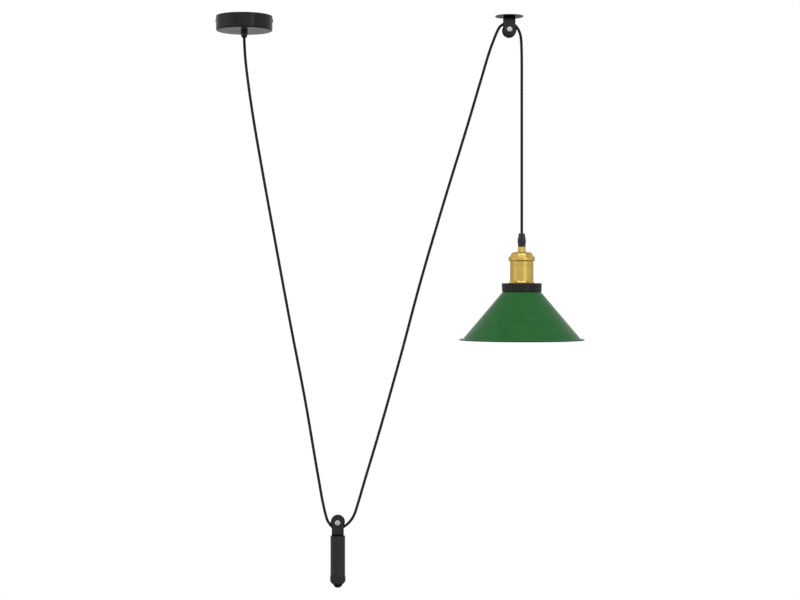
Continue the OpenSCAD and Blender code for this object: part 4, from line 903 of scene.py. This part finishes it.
def make_holder():
    """The turned cap with its neck, shoulder and flange, and the body with its groove and foot."""
    look = "lamp", "holder_brass", holder_metal
    neck, hole, shoulder, flange, room = 6.85, 5.05, 19.8, 23.25, 20.45
    turned("holder_turned_cap", "holder_cap", look, [
        (room, flange_end_z, 0.2), (flange, flange_end_z, 2), (flange, flange_top_z, 2),
        (shoulder, flange_top_z, 0.4), (shoulder, shoulder_z, 7.5), (neck, shoulder_z, 2.4),
        (neck, neck_top_z, 0.4), (hole, neck_top_z, 0.2), (hole, shoulder_z - 1.5),
        (18.3, shoulder_z - 1.5, 6), (18.3, body_top_z), (room, body_top_z)], around=160)
    tube, inner, slot, crest, lip = 20.55, 19.05, 19.45, 19.6, 17.6
    groove_z, slot_z, thread_end = -437.5, insert_seat_z + 0.95, holder_foot_z - 15
    turned("holder_turned_body", "holder_body", look, [
        (lip, holder_end_z, 0.2), (19.4, holder_end_z), (crest, holder_end_z + 0.2),
        *ladder((crest, holder_end_z + 0.5), (crest, thread_end), 0.25),
        (crest, holder_foot_z), (22.5, holder_foot_z, 0.25),
        *arc_points((27.15, -464.2), 6.6, -129.5, -180, 10), (tube, insert_seat_z),
        (tube, groove_z - 0.7), *arc_points((tube, groove_z), 0.45, -90, -270, 6),
        (tube, groove_z + 0.7), (tube, flange_end_z + 0.1), (20.35, flange_end_z + 0.2),
        (20.35, body_top_z, 0.2), (inner, body_top_z, 0.2), (inner, slot_z), (slot, slot_z),
        (slot, insert_seat_z), (inner, insert_seat_z), (inner, insert_ledge_z),
        (lip, insert_ledge_z, 0.2)],
        around=160, shape=thread(0.5, 2.2, holder_end_z, thread_end, outside=19.5))


def make_rings():
    """The two ribbed rings that hold the shade on the holder's outer thread."""
    look = "lamp", "ring_black", ring_phenolic
    ribs, rib_depth, bore = 48, 0.7, 19.72
    low, step, high = shade_seat_z, -472.1, holder_foot_z
    turned("shade_ring_ribbed_upper", "shade_ring_upper", look, [
        (bore, low, 0.2), (22.32, low, 0.3), (22.32, step, 0.6), (31.7, step, 0.6),
        (31.7, low, 0.3), (34.5, low, 0.5), (35, (low + high) / 2), (35, high, 1),
        (bore, high, 0.3)], around=480, shape=ribbed(ribs, rib_depth, 33.2))
    top = shade_seat_z - shade_wall
    turned("shade_ring_ribbed_lower", "shade_ring_lower", look, [
        (bore, top - 6, 0.3), (27, top - 6, 0.8), (27, top, 0.4), (bore, top, 0.2)],
        around=480, shape=ribbed(ribs, rib_depth, 25))


def cone_corner(ball, radius, other, other_radius, level):
    """Where the straight line that touches two round bends meets a level, as (radius, height).

    The line leaves a convex bend and runs into a concave one, so its direction is that of
    the line between the centres, turned by asin of the radii's sum over their distance.
    """
    apart = np.subtract(other, ball)
    way = math.atan2(apart[1], apart[0]) - math.asin((radius + other_radius) / math.hypot(*apart))
    touch = np.add(ball, (-radius * math.sin(way), radius * math.cos(way)))
    return touch[0] + (level - touch[1]) / math.tan(way), level


def make_shade():
    """The spun cone: a flat top, a straight side, a narrow brim and a rolled bead.

    The inside mask covers the section from its start to the brim's lowest point, and the
    bead mask, where the enamel paints shade, what lies within the bead's radius of its middle.
    """
    wall, bead, brim_bend, top_bend, hole = shade_wall, 1.0, 5.0, 1.8, 19.84
    bead_at = (109, brim_z - wall / 2)
    top_at = (34.6 - top_bend, shade_seat_z - top_bend)
    foot_at = (bead_at[0] - 2.5, brim_z + brim_bend)
    outer = [cone_corner(top_at, top_bend, foot_at, brim_bend, level)
             for level in (brim_z, shade_seat_z)]
    inner = [cone_corner(top_at, top_bend - wall, foot_at, brim_bend + wall, level)
             for level in (shade_seat_z - wall, brim_z - wall)]
    meet = 180 - math.degrees(math.asin(wall / 2 / bead))

    def inside(line):
        return (np.arange(len(line)) < np.argmin(line[:, 1])).astype(float)

    def on_bead(line):
        return (np.hypot(*(line - bead_at).T) < bead + 0.05).astype(float)

    turned("shade_spun_cone", "shade", ("lamp", "shade_green", shade_enamel), [
        (hole, shade_seat_z - wall, 0.1), (*inner[0], top_bend - wall),
        (*inner[1], brim_bend + wall), *arc_points(bead_at, bead, -meet, meet, 18),
        (*outer[0], brim_bend), (*outer[1], top_bend), (hole, shade_seat_z, 0.1)],
        around=256, masks={"inside": inside, "bead": on_bead})


def rolled_thread(radius, angle, height):
    """A round thread rolled into sheet: a cosine of height / pitch - angle / turn, 0.85 mm deep.

    It fades out towards the shell's mouth and its floor, which stays flat.
    """
    low, high, pitch, depth = -483.6, -459.7, 3.629, 0.85
    fade = ends_fade(height, low, high, 1.8) * (radius > 13)
    return radius - depth / 2 * fade * (1 - np.cos(TURN * (height / pitch - angle / TURN)))


def make_socket():
    """The porcelain insert and the screw shell with its rolled thread."""
    glazed = "lamp", "porcelain", porcelain_glaze
    plated = "lamp", "shell_metal", shell_metal
    outer, rim, well, hole = 17.3, 18.85, 14, 9.5
    end, top, floor, seat = -491, -438, -454, -457.5
    turned("socket_porcelain_insert", "socket_insulator", glazed, [
        (well, end, 0.6), (outer, end, 0.6), (outer, insert_ledge_z, 0.2),
        (rim, insert_ledge_z, 0.3), (rim, insert_seat_z, 0.3), (outer, insert_seat_z, 0.2),
        (outer, top, 0.8), (2, top, 0.2), (2, floor, 0.2), (hole, floor, 0.2), (hole, seat, 0.3),
        (well, seat, 0.4)], around=96)
    sheet, shell, mouth = 0.65, 13.95, -484
    bore, low, high = shell - sheet, mouth + 0.4, seat - 1.2
    turned("socket_rolled_screw_shell", "socket_screw_shell", plated, [
        (bore, mouth), (shell, mouth), *ladder((shell, low), (shell, high), 0.4),
        (shell, seat, 0.4), (hole, seat, 0.1), (hole, seat - sheet, 0.1), (bore, seat - sheet, 0.3),
        *ladder((bore, high), (bore, low), 0.4)], around=96, shape=rolled_thread)


make_canopy()
make_pulleys()
make_weight()
make_lamp_grip()
make_holder()
make_rings()
make_shade()
make_socket()


# ---- Finishes of the solids that stay ----

solid_finish = {
    canopy_paint: ["canopy_side_screws"],
    zinc_plate: ["mounting_bracket", "canopy_grip_locknut", "terminal_fixing_screw",
                 "weight_rod_nut", "lamp_grip_locknut", "socket_retaining_ring",
                 "socket_terminal_screws"],
    block_nylon: ["terminal_block"],
    contact_metal: ["terminal_clamp_screws", "earth_screw", "socket_centre_contact",
                    "socket_terminals"],
    core_brown: ["canopy_live_wire", "lamp_live_wire"],
    core_blue: ["canopy_neutral_wire", "lamp_neutral_wire"],
    core_green: ["canopy_earth_wire", "lamp_earth_wire"],
    pulley_paint: ["pulley_plate", "ceiling_fork_rivets"],
    bright_plate: ["ceiling_axle_nut", "weight_axle_nut"],
    bush_metal: ["ceiling_axle_bush", "weight_axle_bush"],
    iron_skin: ["weight_core"],
}
for material, names in solid_finish.items():
    for name in names:
        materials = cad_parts[name].data.materials
        materials.clear()
        materials.append(material)


# ---- Stage ----

stage_aim = (0.3, 0, -0.5)
studio_lights = (
    ("light_left", (-0.8, -2.05, 1.9), (0.44, 1.1), 30.0),
    ("light_right", (1.15, -2.05, 1.9), (0.44, 1.1), 30.0),
    ("light_strip", (1.6, -2.05, -0.4), (0.3, 1.8), 3.6),
)


def light_stage():
    """Plain soft studio light: two soft lamps high in front and a tall narrow one on the right.

    Each has a name, a place, the sides of its rectangle and its power, and faces stage_aim.
    """
    for name, place, sides, power in studio_lights:
        data = bpy.data.lights.new(name, "AREA")
        data.shape = "RECTANGLE"
        data.size, data.size_y = sides
        data.energy = power
        lamp = bpy.data.objects.new(name, data)
        lamp.location = place
        away = np.subtract(place, stage_aim)
        tilt = math.atan2(math.hypot(away[0], away[1]), away[2])
        lamp.rotation_euler = (tilt, 0, math.atan2(away[0], -away[1]))
        bpy.context.scene.collection.objects.link(lamp)


# Strengths of the surround: in front as gloss sees it, behind it, and for soft light
front_low, front_level, front_high, side_level = 0.05, 0.8, 0.08, 0.35
behind_low, behind_level = 0.42, 0.65
dome_low, dome_high = 0.15, 0.63


def white_world():
    """A white surround for the camera; gloss sees it behind and a dimmer studio in front.

    Soft light comes mostly from above and is weak from below.
    """
    world = bpy.data.worlds.new("white_surround")
    world.use_nodes = True
    g = Graph(world.node_tree)
    path = g.add("LightPath").outputs
    seen = g.math("MAXIMUM", path["Is Camera Ray"], path["Is Transmission Ray"])
    side, depth, height = g.split(g.place("Generated"))
    rising = g.span(height, -0.5, -0.15, front_low, front_level, smooth=True)
    falling = g.span(height, 0.15, 0.8, front_level, front_high, smooth=True)
    front = g.math("MINIMUM", rising, falling)
    left = g.span(side, -0.99, -0.7, side_level, 0.0, smooth=True)
    front = g.math("ADD", front, left)
    behind = g.span(depth, -0.15, 0.3, smooth=True)
    backdrop = g.span(height, -0.3, 0.1, behind_low, behind_level, smooth=True)
    mirrored = g.between(behind, front, backdrop)
    soft = g.span(height, -0.35, 0.45, dome_low, dome_high, smooth=True)
    level = g.between(path["Is Glossy Ray"], soft, mirrored)
    background = g.nodes["Background"].inputs
    background["Color"].default_value = (1, 1, 1, 1)
    g.put(g.math("MAXIMUM", seen, level), background["Strength"])
    bpy.context.scene.world = world


def pale_floor():
    """A round pale floor that fades into the white surround and is clear from below.

    It is whole up to fade_from and gone fade_over further out, along a smooth step.
    """
    floor_z, middle_x, reach = -1350.0, 280.0, 1500.0
    fade_from, fade_over = 800, 650
    rings, spokes = 39, 96
    pale, dim_in_gloss = (0.86, 0.86, 0.86, 1), (0.22, 0.22, 0.22, 1)
    ring = np.linspace(0, reach, rings + 1)[1:]
    angle = np.arange(spokes) / spokes * TURN
    grid = np.stack([middle_x + ring[:, None] * np.cos(angle), ring[:, None] * np.sin(angle),
                     np.full((rings, spokes), floor_z)], -1)
    out = np.clip((ring - fade_from) / fade_over, 0, 1)
    fade = 1 - out ** 2 * (3 - 2 * out)
    floor = skin("floor", grid[::-1], np.linspace(0, 1, spokes + 1), ring[::-1] * MM,
                 tips=(None, (middle_x, 0, floor_z)), masks={"shown": fade[::-1, None]})
    floor.data.attributes["shown"].data[-1].value = 1.0
    made, g, s = new_material("floor_white", Roughness=0.9, Specular_IOR_Level=0.1)
    path = g.add("LightPath").outputs
    g.put(g.blend(path["Is Glossy Ray"], pale, dim_in_gloss), s["Base Color"])
    glow = g.add("Emission", {"Color": (1, 1, 1, 1), "Strength": 1.0}).outputs[0]
    lift = g.times(path["Is Camera Ray"], 0.55)
    lit = g.add("MixShader", {0: lift, 1: g.nodes["Principled BSDF"].outputs[0], 2: glow})
    clear = g.add("BsdfTransparent").outputs[0]
    above = g.math("SUBTRACT", 1.0, g.add("NewGeometry").outputs["Backfacing"])
    solid = g.times(g.mask("shown"), above)
    both = g.add("MixShader", {0: solid, 1: clear, 2: lit.outputs[0]})
    g.put(both.outputs[0], g.nodes["Material Output"].inputs["Surface"])
    floor.data.materials.append(made)


light_stage()
white_world()
pale_floor()
bpy.context.scene.view_settings.view_transform = "Standard"
